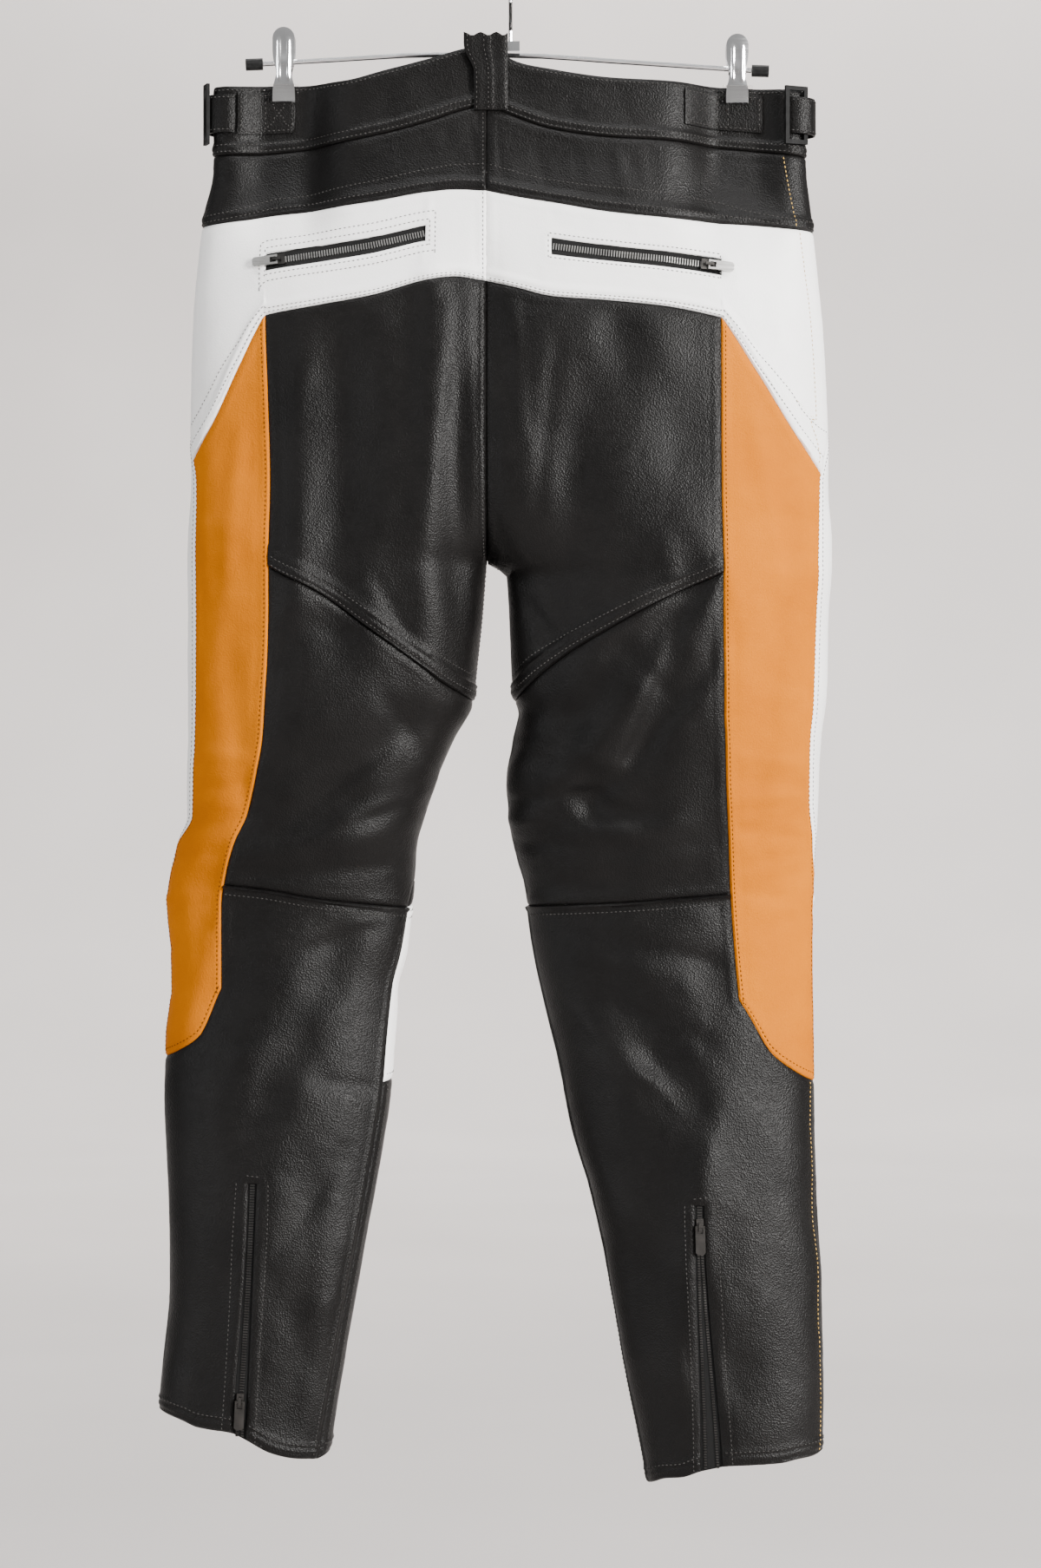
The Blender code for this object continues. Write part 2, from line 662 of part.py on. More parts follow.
def cell_point(side, row, column):
    """The point and normal of the sheet's facets at any row and column."""
    points, normals = SHEET[side]
    r = min(int(row), ROWS - 1)
    c = min(int(column), COLUMNS - 1)
    down, across = row - r, column - c
    if across >= down:
        weights = {(r, c): 1 - across, (r, c + 1): across - down, (r + 1, c + 1): down}
    else:
        weights = {(r, c): 1 - down, (r + 1, c): down - across, (r + 1, c + 1): across}
    place = sum((points[a][b] * w for (a, b), w in weights.items()), Vector())
    out = sum((normals[a][b] * w for (a, b), w in weights.items()), Vector())
    return place, out.normalized()


def strip(name, grid, wall, colour):
    """A flat piece laid on the sheet: a grid of (point of its inner face, normal), and its wall."""
    across = len(grid[0])
    flat = [item for row in grid for item in row]
    inner = [p for p, _ in flat]
    outer = [p + n * wall for p, n in flat]
    faces = []
    for r in range(len(grid) - 1):
        for c in range(across - 1):
            a, b = r * across + c, r * across + c + 1
            faces += [[a, b, b + across], [a, b + across, a + across]]
    return add_object(name, shell_mesh(name, outer, inner, faces), colour)


def spaced(start, end, count):
    return [start + (end - start) * k / (count - 1) for k in range(count)]


def box_mesh(name, low, high):
    mesh = bpy.data.meshes.new(name)
    work = bmesh.new()
    size = Vector(high) - Vector(low)
    middle = (Vector(high) + Vector(low)) / 2
    place = Matrix.Translation(middle * MM) @ Matrix.Diagonal((*(size * MM), 1.0))
    bmesh.ops.create_cube(work, size=1.0, matrix=place)
    work.to_mesh(mesh)
    work.free()
    return mesh


def outline_mesh(name, loops, thickness):
    """A flat plate in the XY plane from closed outlines, the first one solid and the others holes."""
    data = bpy.data.curves.new(name, "CURVE")
    data.dimensions = "2D"
    data.fill_mode = "BOTH"
    data.extrude = thickness / 2 * MM
    for loop in loops:
        spline = data.splines.new("POLY")
        spline.points.add(len(loop) - 1)
        for place, (x, y) in zip(spline.points, loop):
            place.co = (x * MM, y * MM, 0.0, 1.0)
        spline.use_cyclic_u = True
    holder = bpy.data.objects.new(name, data)
    bpy.context.scene.collection.objects.link(holder)
    shaped = holder.evaluated_get(bpy.context.evaluated_depsgraph_get())
    mesh = bpy.data.meshes.new_from_object(shaped)
    bpy.data.objects.remove(holder)
    work = bmesh.new()
    work.from_mesh(mesh)
    bmesh.ops.remove_doubles(work, verts=work.verts, dist=0.00002)
    work.to_mesh(mesh)
    work.free()
    return mesh


def rectangle(x0, x1, y0, y1):
    return [(x0, y0), (x1, y0), (x1, y1), (x0, y1)]


def circle(radius, count):
    turns = [2 * math.pi * k / count for k in range(count)]
    return [(radius * math.cos(t), radius * math.sin(t)) for t in turns]


def tube(name, route, radius, colour, resolution=2):
    data = bpy.data.curves.new(name, "CURVE")
    data.dimensions = "3D"
    data.bevel_depth = radius * MM
    data.bevel_resolution = resolution
    data.use_fill_caps = True
    spline = data.splines.new("POLY")
    spline.points.add(len(route) - 1)
    for place, where in zip(spline.points, route):
        place.co = (*(Vector(where) * MM), 1.0)
    holder = bpy.data.objects.new(name, data)
    bpy.context.scene.collection.objects.link(holder)
    shaped = holder.evaluated_get(bpy.context.evaluated_depsgraph_get())
    mesh = bpy.data.meshes.new_from_object(shaped)
    bpy.data.objects.remove(holder)
    work = bmesh.new()
    work.from_mesh(mesh)
    bmesh.ops.remove_doubles(work, verts=work.verts, dist=0.00002)
    bmesh.ops.recalc_face_normals(work, faces=work.faces)
    work.to_mesh(mesh)
    work.free()
    mesh.materials.clear()
    return add_object(name, mesh, colour)


def build_zip_tapes():
    for side, word in SIDES.items():
        row = LINE_ROW["yoke"] + 2
        margin = 0.35
        grid = []
        for r in (row - margin, row, row + 0.5, row + 1, row + 1 + margin):
            line = []
            for c in (1.8, 2.0, 3.0, 4.0, 5.0, 5.15):
                place, out = cell_point(side, r, c)
                line.append((place - out * (TAPE_DROP + TAPE_WALL), out))
            grid.append(line)
        strip("pocket_zip_tape_" + word, grid, TAPE_WALL, "zip")
        grid = []
        top = LINE_ROW["slit"]
        for r in [top - 0.3] + list(range(top, ROWS + 1)):
            line = []
            for c in (2.8, 3.0, 3.5, 4.0, 4.2):
                place, out = cell_point(side, r, c)
                line.append((place - out * (TAPE_DROP + TAPE_WALL), out))
            grid.append(line)
        strip("ankle_zip_tape_" + word, grid, TAPE_WALL, "zip")


def slider_frame(item):
    """Axes at a slider: along the zip towards the tab, across it, and out of the cloth."""
    row, column = LINE_ROW[item["line"]] + item["rows"], item["column"]
    place, out = cell_point(item["side"], row, column)
    aim, _ = cell_point(item["side"], row + item["aim_rows"], column + item["aim_columns"])
    along = (aim - place).normalized()
    beside = [cell_point(item["side"], row + down, column + over)[0]
              for down, over in ((-0.2, -0.15), (0.2, -0.15), (0.2, 0.15), (-0.2, 0.15))]
    flat = (beside[2] - beside[0]).cross(beside[3] - beside[1])
    out = flat if flat.dot(out) > 0.0 else -flat
    out = (out - along * out.dot(along)).normalized()
    across = out.cross(along)
    turn = Matrix((along, across, out)).transposed().to_4x4()
    return place, turn


def build_sliders():
    joints = []
    for item in rows_of(SLIDER_FIELDS, SLIDERS):
        name = item["zip"] + "_zip_%s_" + SIDES[item["side"]]
        place, turn = slider_frame(item)
        base = REST_GAP - TAPE_DROP
        top = base + SLIDER_BODY
        here = Matrix.Translation(place * MM) @ turn
        half_width = SLIDER_WIDTH[item["zip"]] / 2
        body = box_mesh("body", (-SLIDER_LENGTH / 2, -half_width, base), (SLIDER_LENGTH / 2, half_width, top))
        slider = add_object(name % "slider", body, "metal")
        slider.matrix_world = here
        half = ARCH_LENGTH / 2
        arch_top = top + ARCH_SPACE + ARCH_BAR
        loops = [rectangle(-half, half, top - ARCH_BAR, arch_top),
                 rectangle(-half + ARCH_BAR, half - ARCH_BAR, top - 0.2, top + ARCH_SPACE)]
        arch = bpy.data.objects.new(name % "arch", outline_mesh("arch", loops, ARCH_WIDTH))
        CUTS.objects.link(arch)
        arch.matrix_world = here @ Matrix.Rotation(math.radians(90), 4, "X")
        arch.hide_render = True
        arch.display_type = "WIRE"
        join = slider.modifiers.new("arch", "BOOLEAN")
        join.operation = "UNION"
        join.object = arch
        axle = top + ARCH_SPACE / 2
        eye = TAB_BAR / 2 + TAB_EYE_LENGTH
        loops = [[(-TAB_BAR / 2, -TAB_WIDTH / 2), (item["tab"] - 1.5, -TAB_WIDTH / 2),
                  (item["tab"], -TAB_WIDTH / 2 + 1.5), (item["tab"], TAB_WIDTH / 2 - 1.5),
                  (item["tab"] - 1.5, TAB_WIDTH / 2), (-TAB_BAR / 2, TAB_WIDTH / 2)],
                 rectangle(TAB_BAR / 2, eye, -TAB_EYE_WIDTH / 2, TAB_EYE_WIDTH / 2)]
        tab = add_object(name % "tab", outline_mesh("tab", loops, TAB_BAR), "metal")
        tab.matrix_world = here @ Matrix.Translation((0.0, 0.0, axle * MM))
        joints.append((tab.name, tab.matrix_world.translation.copy(), turn))
    return joints


def build_ring(side, strap):
    """A rectangular ring that lies on the strap, over its highest points."""
    ring = RINGS[side]
    place, out = cell_point(side, 0.8, ring["column"])
    out = Vector((out.x, out.y, 0.0)).normalized()
    up = Vector((0.0, 0.0, 1.0))
    across = up.cross(out)
    half_x, half_z = ring["size"][0] / 2, ring["size"][1] / 2
    under = [p for p in strap if abs((p - place).dot(across)) < half_x + 6.0]
    rise = max((p - place).dot(out) for p in under) + 2.5 * REST_GAP + RING_WALL / 2
    loops = [rectangle(-half_x, half_x, -half_z, half_z),
             rectangle(-half_x + RING_BAR, half_x - RING_BAR, -half_z + RING_BAR, half_z - RING_BAR)]
    made = add_object("adjuster_ring_" + SIDES[side], outline_mesh("ring", loops, RING_WALL), "plastic")
    turn = Matrix((across, up, out)).transposed().to_4x4()
    made.matrix_world = Matrix.Translation((place + out * rise) * MM) @ turn


def build_adjusters():
    for side, word in SIDES.items():
        grid = []
        for row in ADJUSTER_ROWS:
            line = []
            for column in PATCH_COLUMNS[side]:
                place, out = cell_point(side, row, column)
                line.append((place + out * LAY_LIFT, out))
            grid.append(line)
        strip("adjuster_patch_" + word, grid, PATCH_WALL, "black")
        columns = spaced(STRAP_COLUMNS[side][0], STRAP_COLUMNS[side][-1], 9)
        grid = []
        for row in ADJUSTER_ROWS:
            line = []
            for c in columns:
                place, out = cell_point(side, row, c)
                lift = curve(STRAP_COLUMNS[side], STRAP_LIFTS[side], c)
                line.append((place + out * lift, out))
            grid.append(line)
        strip("adjuster_strap_" + word, grid, STRAP_WALL, "black")
        build_ring(side, [p + n * STRAP_WALL for row in grid for p, n in row])


def build_belt_loop():
    grid = []
    heights = [(z, rise) for z, rise in LOOP_RISE]
    for z, rise in heights:
        line = []
        for x in spaced(*LOOP_X, 7):
            side = LEFT if x < CENTRE_X else RIGHT
            top = SHEET[side][0][0][0].z - 2.0
            place, out = facet_point(side, x, min(z, top))
            line.append((Vector((place.x, place.y, z)) + out * (rise + 0.3), out))
        grid.append(line)
    lean = grid[-1]
    for k, z in enumerate(LOOP_FOLD_Z):
        back = (0.6, 3.0)[k]
        grid.append([(Vector((p.x, min(q.y for q, _ in lean) - 1.0 + back * k, z)), n) for p, n in lean])
    strip("belt_loop", grid, LOOP_WALL, "black")


def build_fly():
    grid = []
    for z in spaced(*PLACKET_Z, 12):
        line = []
        for x in spaced(*PLACKET_X, 5):
            side = LEFT if x < CENTRE_X else RIGHT
            place, out = facet_point(side, x, z, "front")
            line.append((place + out * LAY_LIFT, out))
        grid.append(line)
    strip("fly_placket", grid, PLACKET_WALL, "black")
    place, out = facet_point(RIGHT, *STUD_AT, "front")
    mesh = bpy.data.meshes.new("stud")
    work = bmesh.new()
    bmesh.ops.create_cone(work, cap_ends=True, segments=24, radius1=STUD_RADIUS * MM,
                          radius2=STUD_RADIUS * 0.8 * MM, depth=STUD_HEIGHT * MM)
    work.to_mesh(mesh)
    work.free()
    stud = add_object("waist_stud", mesh, "metal")
    seat = place + out * (0.6 + STUD_HEIGHT / 2)
    stud.matrix_world = Matrix.Translation(seat * MM) @ out.to_track_quat("Z", "Y").to_matrix().to_4x4()


def rod_height(x):
    return curve([p[0] for p in ROD_POINTS], [p[1] for p in ROD_POINTS], x)


def build_hanger():
    ends = (ROD_POINTS[0][0], ROD_POINTS[-1][0])
    tube("hanger_rod", [(x, 0.0, rod_height(x)) for x in spaced(*ends, 15)], ROD_RADIUS, "metal", 3)
    for side, word in SIDES.items():
        end = ends[0] if side == LEFT else ends[1]
        start = end + side * REST_GAP
        route = [(start, 0.0, rod_height(end)), (start + side * CAP_LENGTH, 0.0, rod_height(end) - 0.5)]
        tube("rod_cap_" + word, route, CAP_RADIUS, "rubber", 3)
    wire = HOOK_CROWN + HOOK_RADIUS
    centre_z = -HOOK_CROWN
    turns = spaced(math.radians(200), math.radians(-35), 20)
    hook = [(HOOK_X, 0.0, BRACKET["z"][1] + REST_GAP), (HOOK_X, 0.0, SHANK_TOP_Z), (HOOK_X, -4.0, -36.0)]
    hook += [(HOOK_X, wire * math.cos(t), centre_z + wire * math.sin(t)) for t in turns]
    tube("hanger_hook", hook, HOOK_RADIUS, "metal", 2)
    box = BRACKET
    add_object("hook_bracket", box_mesh("bracket", *zip(box["x"], box["y"], box["z"])), "metal")
    for side, word in SIDES.items():
        x = CLIP_X[side]
        z = rod_height(x)
        upright = Matrix.Rotation(math.radians(90), 4, "Y")
        ring = outline_mesh("sleeve", [circle(SLEEVE_RADIUS, 20), circle(SLEEVE_BORE, 16)], SLEEVE_LENGTH)
        sleeve = add_object("clip_sleeve_" + word, ring, "metal")
        sleeve.matrix_world = Matrix.Translation(Vector((x, 0.0, z)) * MM) @ upright
        waist = SHEET[side][0][0][TRIM_COLUMN].z
        foot = waist - JAW_BITE
        for face, sign in (("back", -1), ("front", 1)):
            patch = LAY_LIFT + PATCH_WALL if face == "back" else 0.0
            near = PINCHED_HALF + patch + REST_GAP
            far = max(SLEEVE_RADIUS, near) + REST_GAP
            shape = [(near, foot), (far + JAW_WALL, foot), (far + JAW_WALL, z + JAW_TOP_RISE),
                     (far, z + JAW_TOP_RISE), (far, foot + JAW_PAD_HEIGHT), (near, foot + JAW_PAD_HEIGHT)]
            plate = outline_mesh("jaw", [[(sign * y, v) for y, v in shape][::sign]], JAW_WIDTH)
            jaw = add_object("clip_jaw_%s_%s" % (face, word), plate, "metal")
            stand = Matrix(((0, 0, 1, x * MM), (1, 0, 0, 0), (0, 1, 0, 0), (0, 0, 0, 1)))
            jaw.matrix_world = stand


build_garment()
build_zip_tapes()
build_sliders()
build_adjusters()
build_belt_loop()
build_fly()
build_hanger()
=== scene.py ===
"""Leather motorcycle trousers on a clip hanger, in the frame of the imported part.

The tables are in millimetres and describe the same sheets as the part: columns 0 to 8 cross the back of
each half from the inner edge to the side seam, columns 8 to 16 come back across the front, and rows run
from the waist to the hem. Every leather panel is built again on its sheet with a fine grid, so that its
seams, stitches and creases show.
"""

import math

import bmesh
import bpy
import numpy as np
from mathutils import Matrix, Vector, kdtree


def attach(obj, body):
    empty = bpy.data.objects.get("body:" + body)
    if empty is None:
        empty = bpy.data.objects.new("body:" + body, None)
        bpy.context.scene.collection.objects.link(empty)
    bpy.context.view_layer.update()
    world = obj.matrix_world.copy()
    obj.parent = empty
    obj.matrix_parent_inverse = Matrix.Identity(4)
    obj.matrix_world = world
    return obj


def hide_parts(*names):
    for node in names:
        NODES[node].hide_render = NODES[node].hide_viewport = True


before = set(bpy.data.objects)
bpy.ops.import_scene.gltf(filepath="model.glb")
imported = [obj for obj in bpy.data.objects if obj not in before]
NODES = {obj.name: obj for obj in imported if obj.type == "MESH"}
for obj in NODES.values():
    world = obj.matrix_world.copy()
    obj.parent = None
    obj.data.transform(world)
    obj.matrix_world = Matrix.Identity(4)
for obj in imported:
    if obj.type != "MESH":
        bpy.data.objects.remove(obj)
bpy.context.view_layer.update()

MM = 0.001
LEFT = -1
RIGHT = 1
SIDES = {LEFT: "left", RIGHT: "right"}
BOTH = (LEFT, RIGHT)

# Walls and seams
LEATHER = 1.6
BAND_LEATHER = 2.6
SEAM_HALF_GAP = 0.15
REST_GAP = 0.3

# Centre seam and crotch
CENTRE_X = -17.0
CROTCH_Z = -449.0
BACK_RISE = 110.0
FRONT_RISE = 90.0
CENTRE_ANGLE_SINE = 0.985
ROUNDNESS = 0.85

# Hanger: the clips pinch the two waistbands together
CLIP_X = {LEFT: -172.0, RIGHT: 174.0}
PINCH_FLAT = 14.0
PINCH_WIDTH = 22.0
PINCH_TOP_Z = -112.0
PINCH_END_Z = -235.0
PINCHED_HALF = BAND_LEATHER + REST_GAP

COLUMNS = 16
SIDE_COLUMN = 8
TRIM_COLUMN = 5
ZIP_COLUMNS = (3, 4)

# Outline of each half from the back: height, inner edge, outer edge, inner edge of the side panel
OUTLINE_FIELDS = ("z", "inner", "outer", "trim")
OUTLINES = {
    LEFT: (
        (-50, -17, -226, -162),
        (-110, -17, -226, -162),
        (-150, -17, -226, -174),
        (-184, -17, -233, -182),
        (-237, -17, -239, -184),
        (-264, -17, -241, -184),
        (-324, -17, -243, -182),
        (-395, -17, -244, -180),
        (-449, -17, -246, -181),
        (-482, -19, -246, -181),
        (-522, -23, -246, -182),
        (-552, -27, -246, -184),
        (-582, -42, -246, -186),
        (-609, -54, -247, -191),
        (-642, -65, -247, -199),
        (-663, -71, -255, -209),
        (-685, -73, -261, -215),
        (-710, -75, -264, -219),
        (-745, -79, -261, -219),
        (-773, -85, -260, -219),
        (-811, -88, -264, -220),
        (-853, -91, -264, -222),
        (-900, -98, -262, -226),
        (-958, -108, -259, -230),
        (-1000, -116, -259, -232),
        (-1059, -126, -264, -234),
        (-1099, -133, -266, -236),
        (-1150, -141, -266, -238),
    ),
    RIGHT: (
        (-50, -17, 226, 162),
        (-110, -17, 226, 162),
        (-150, -17, 227, 162),
        (-188, -17, 231, 160),
        (-237, -17, 236, 160),
        (-266, -17, 239, 160),
        (-337, -17, 243, 160),
        (-395, -17, 245, 160),
        (-449, -17, 246, 161),
        (-457, -2, 246, 161),
        (-482, 0, 245, 161),
        (-549, 3, 243, 162),
        (-563, 7, 242, 162),
        (-582, 3, 240, 163),
        (-615, -2, 239, 164),
        (-653, 1, 238, 166),
        (-676, 6, 235, 167),
        (-698, 12, 235, 168),
        (-741, 18, 234, 171),
        (-784, 27, 234, 175),
        (-835, 39, 234, 182),
        (-880, 48, 234, 188),
        (-926, 62, 235, 194),
        (-999, 78, 238, 198),
        (-1072, 91, 239, 202),
        (-1134, 103, 238, 206),
        (-1150, 106, 238, 206),
    ),
}

# Depth of the hollow sheet: height, middle, reach of the back, reach of the front
DEPTH_FIELDS = ("z", "middle", "back", "front")
DEPTHS = (
    (-50, 0, 26, 20),
    (-90, 0, 28, 22),
    (-140, 0, 34, 28),
    (-190, 0, 44, 37),
    (-250, 0, 52, 45),
    (-370, 3, 60, 52),
    (-449, 6, 64, 54),
    (-550, 14, 66, 57),
    (-640, 24, 60, 55),
    (-710, 32, 54, 53),
    (-780, 28, 53, 50),
    (-850, 18, 52, 46),
    (-980, 0, 46, 40),
    (-1150, -12, 38, 32),
)

# How far the inner leg seam sits on the back of each leg, as a share of the leg's width
INSEAM_FIELDS = ("z", "share")
INSEAMS = {
    LEFT: ((-50, 0.0), (-690, 0.0), (-712, 0.012), (-780, 0.026), (-845, 0.032), (-1150, 0.05)),
    RIGHT: ((-50, 0.0), (-1150, 0.0)),
}

# Share of the width at the side seam, which shows on the back of the thighs only
SIDE_SEAM_FIELDS = ("z", "share")
SIDE_SEAMS = {
    LEFT: ((-50, 1.0), (-350, 1.0), (-390, 0.975), (-480, 0.966), (-640, 0.975), (-665, 1.0),
           (-1150, 1.0)),
    RIGHT: ((-50, 1.0), (-350, 1.0), (-390, 0.968), (-520, 0.954), (-630, 0.962), (-690, 1.0),
            (-1150, 1.0)),
}

# Edges of the ankle zip's slit, and the shares of columns 1 to 4 above it
SLIT_FIELDS = ("z", "inner", "outer")
SLITS = {
    LEFT: ((-860, -187, -196), (-919, -188.5, -195.5), (-1104, -195, -206), (-1150, -197, -208)),
    RIGHT: ((-870, 139, 148), (-935, 139.5, 147), (-1134, 144, 161), (-1150, 144, 162)),
}
UPPER_SHARES = (0.14, 0.28, 0.52, 0.76)
SIDE_PANEL_SHARES = (0.36, 0.72)
INSEAM_TURN = 2
SLIT_BLEND_TOP_Z = -845.0
SLIT_BLEND_END_Z = -900.0

# Seam lines: name, shares of the rows that lead down to it, heights at columns 0 to 8, and at the
# middle and the inner edge of the front
LINE_FIELDS = ("name", "steps", "c0", "c1", "c2", "c3", "c4", "c5", "c6", "c7", "c8", "c12", "c16")
EVEN_2 = (1 / 2, 1)
EVEN_3 = (1 / 3, 2 / 3, 1)
EVEN_5 = (0.2, 0.4, 0.6, 0.8, 1)
POCKET_STEPS = (0.2, 0.39, 0.55, 0.78, 1)
CROTCH_SHARE = 4 / 6
SEAT_STEPS = (1 / 6, 2 / 6, 3 / 6, 0.592, CROTCH_SHARE, 5 / 6, 1)
LINES = {
    LEFT: (
        ("waist", (), -57, -61, -67, -76, -84, -85, -85, -86, -86, -90, -96),
        ("band", EVEN_2, -103, -108, -115, -125, -132, -136, -138, -139, -139, -142, -146),
        ("yoke", EVEN_2, -170, -169, -171, -178, -183, -187, -190, -192, -193, -198, -202),
        ("hip", POCKET_STEPS, -239, -236, -239, -250, -257, -264, -302, -346, -371, -300, -239),
        ("seat", SEAT_STEPS, -554, -543, -528, -502, -475, -454, -450, -448, -446, -500, -554),
        ("knee", EVEN_5, -712, -710, -708, -704, -698, -694, -693, -693, -693, -700, -712),
        ("trim", EVEN_3, -845, -835, -822, -800, -785, -773, -809, -820, -826, -835, -845),
        ("slit", EVEN_3, -925, -924, -922, -919, -919, -918, -917, -916, -915, -920, -925),
        ("hem", EVEN_5, -1128, -1126, -1121, -1111, -1106, -1102, -1098, -1095, -1093, -1105, -1128),
    ),
    RIGHT: (
        ("waist", (), -57, -71, -76, -82, -84, -86, -87, -88, -89, -92, -96),
        ("band", EVEN_2, -103, -114, -122, -128, -130, -133, -135, -138, -140, -143, -146),
        ("yoke", EVEN_2, -170, -175, -179, -186, -190, -193, -194, -196, -197, -200, -202),
        ("hip", POCKET_STEPS, -239, -245, -251, -254, -258, -266, -310, -357, -382, -303, -239),
        ("seat", SEAT_STEPS, -554, -534, -518, -496, -476, -459, -455, -452, -450, -500, -554),
        ("knee", EVEN_5, -711, -710, -709, -707, -704, -701, -700, -700, -700, -705, -711),
        ("trim", EVEN_3, -860, -850, -838, -815, -796, -782, -822, -837, -845, -850, -860),
        ("slit", EVEN_3, -937, -936, -936, -935, -935, -935, -935, -935, -935, -936, -937),
        ("hem", EVEN_5, -1148, -1142, -1140, -1135, -1131, -1129, -1127, -1126, -1124, -1130, -1148),
    ),
}
LINE_COLUMNS = (0, 1, 2, 3, 4, 5, 6, 7, 8, 12, 16)

# Large folds on each face: upper end, lower end, half width, height (a trough is below zero)
FOLD_FIELDS = ("x0", "z0", "x1", "z1", "width", "height")
FOLDS = {
    "back": (
        (-57, -250, -58, -540, 13, 4.5),
        (-37, -330, -38, -520, 11, -5.0),
        (-126, -320, -124, -500, 20, -6.0),
        (-158, -300, -160, -470, 12, 3.0),
        (-17, -235, -17, -410, 11, -4.5),
        (62, -330, 40, -500, 22, -4.0),
        (133, -480, 96, -600, 18, -6.0),
        (36, -552, 66, -640, 15, -5.0),
        (-2, -612, 84, -640, 10, -5.0),
        (30, -668, 110, -650, 12, 3.5),
        (-75, -575, -150, -640, 14, -5.0),
        (-95, -655, -190, -672, 11, 4.0),
        (-215, -500, -200, -640, 10, -3.5),
        (205, -420, 190, -640, 11, -3.5),
        (-130, -745, -180, -850, 18, -5.0),
        (70, -760, 130, -850, 18, -5.0),
        (-215, -700, -245, -790, 12, 4.5),
        (150, -900, 120, -1060, 16, 4.0),
        (-150, -930, -160, -1080, 16, -4.0),
    ),
    "front": (
        (-120, -330, -110, -520, 20, -5.5),
        (90, -340, 80, -540, 20, -5.5),
        (-70, -400, -140, -470, 12, -4.0),
        (40, -400, 110, -480, 12, -4.0),
        (-110, -600, -210, -655, 14, 4.5),
        (40, -620, 170, -660, 14, 4.5),
        (-110, -860, -200, -830, 13, -4.5),
        (60, -870, 190, -840, 13, -4.5),
        (-170, -930, -190, -1080, 16, 4.0),
        (130, -940, 150, -1090, 16, 4.0),
    ),
}

# Cut panels: name, top line, bottom line, first and last column, colour, wall
PANEL_FIELDS = ("name", "top", "bottom", "first", "last", "colour", "wall")
PANELS = (
    ("waistband_back", "waist", "band", 0, 8, "black", BAND_LEATHER),
    ("waistband_front", "waist", "band", 8, 16, "black", BAND_LEATHER),
    ("yoke_back", "band", "yoke", 0, 8, "black", LEATHER),
    ("yoke_front", "band", "yoke", 8, 16, "black", LEATHER),
    ("hip_band", "yoke", "hip", 0, 8, "white", LEATHER),
    ("seat_panel", "hip", "seat", 0, 5, "black", LEATHER),
    ("side_panel", "hip", "trim", 5, 8, "orange", LEATHER),
    ("thigh_back", "seat", "knee", 0, 5, "black", LEATHER),
    ("thigh_outer_front", "yoke", "knee", 8, 12, "white", LEATHER),
    ("thigh_inner_front", "yoke", "knee", 12, 16, "black", LEATHER),
    ("knee_front", "knee", "trim", 8, 16, "white", LEATHER),
    ("calf_back", "knee", "hem", 0, 8, "black", LEATHER),
    ("shin_front", "trim", "hem", 8, 16, "black", LEATHER),
)

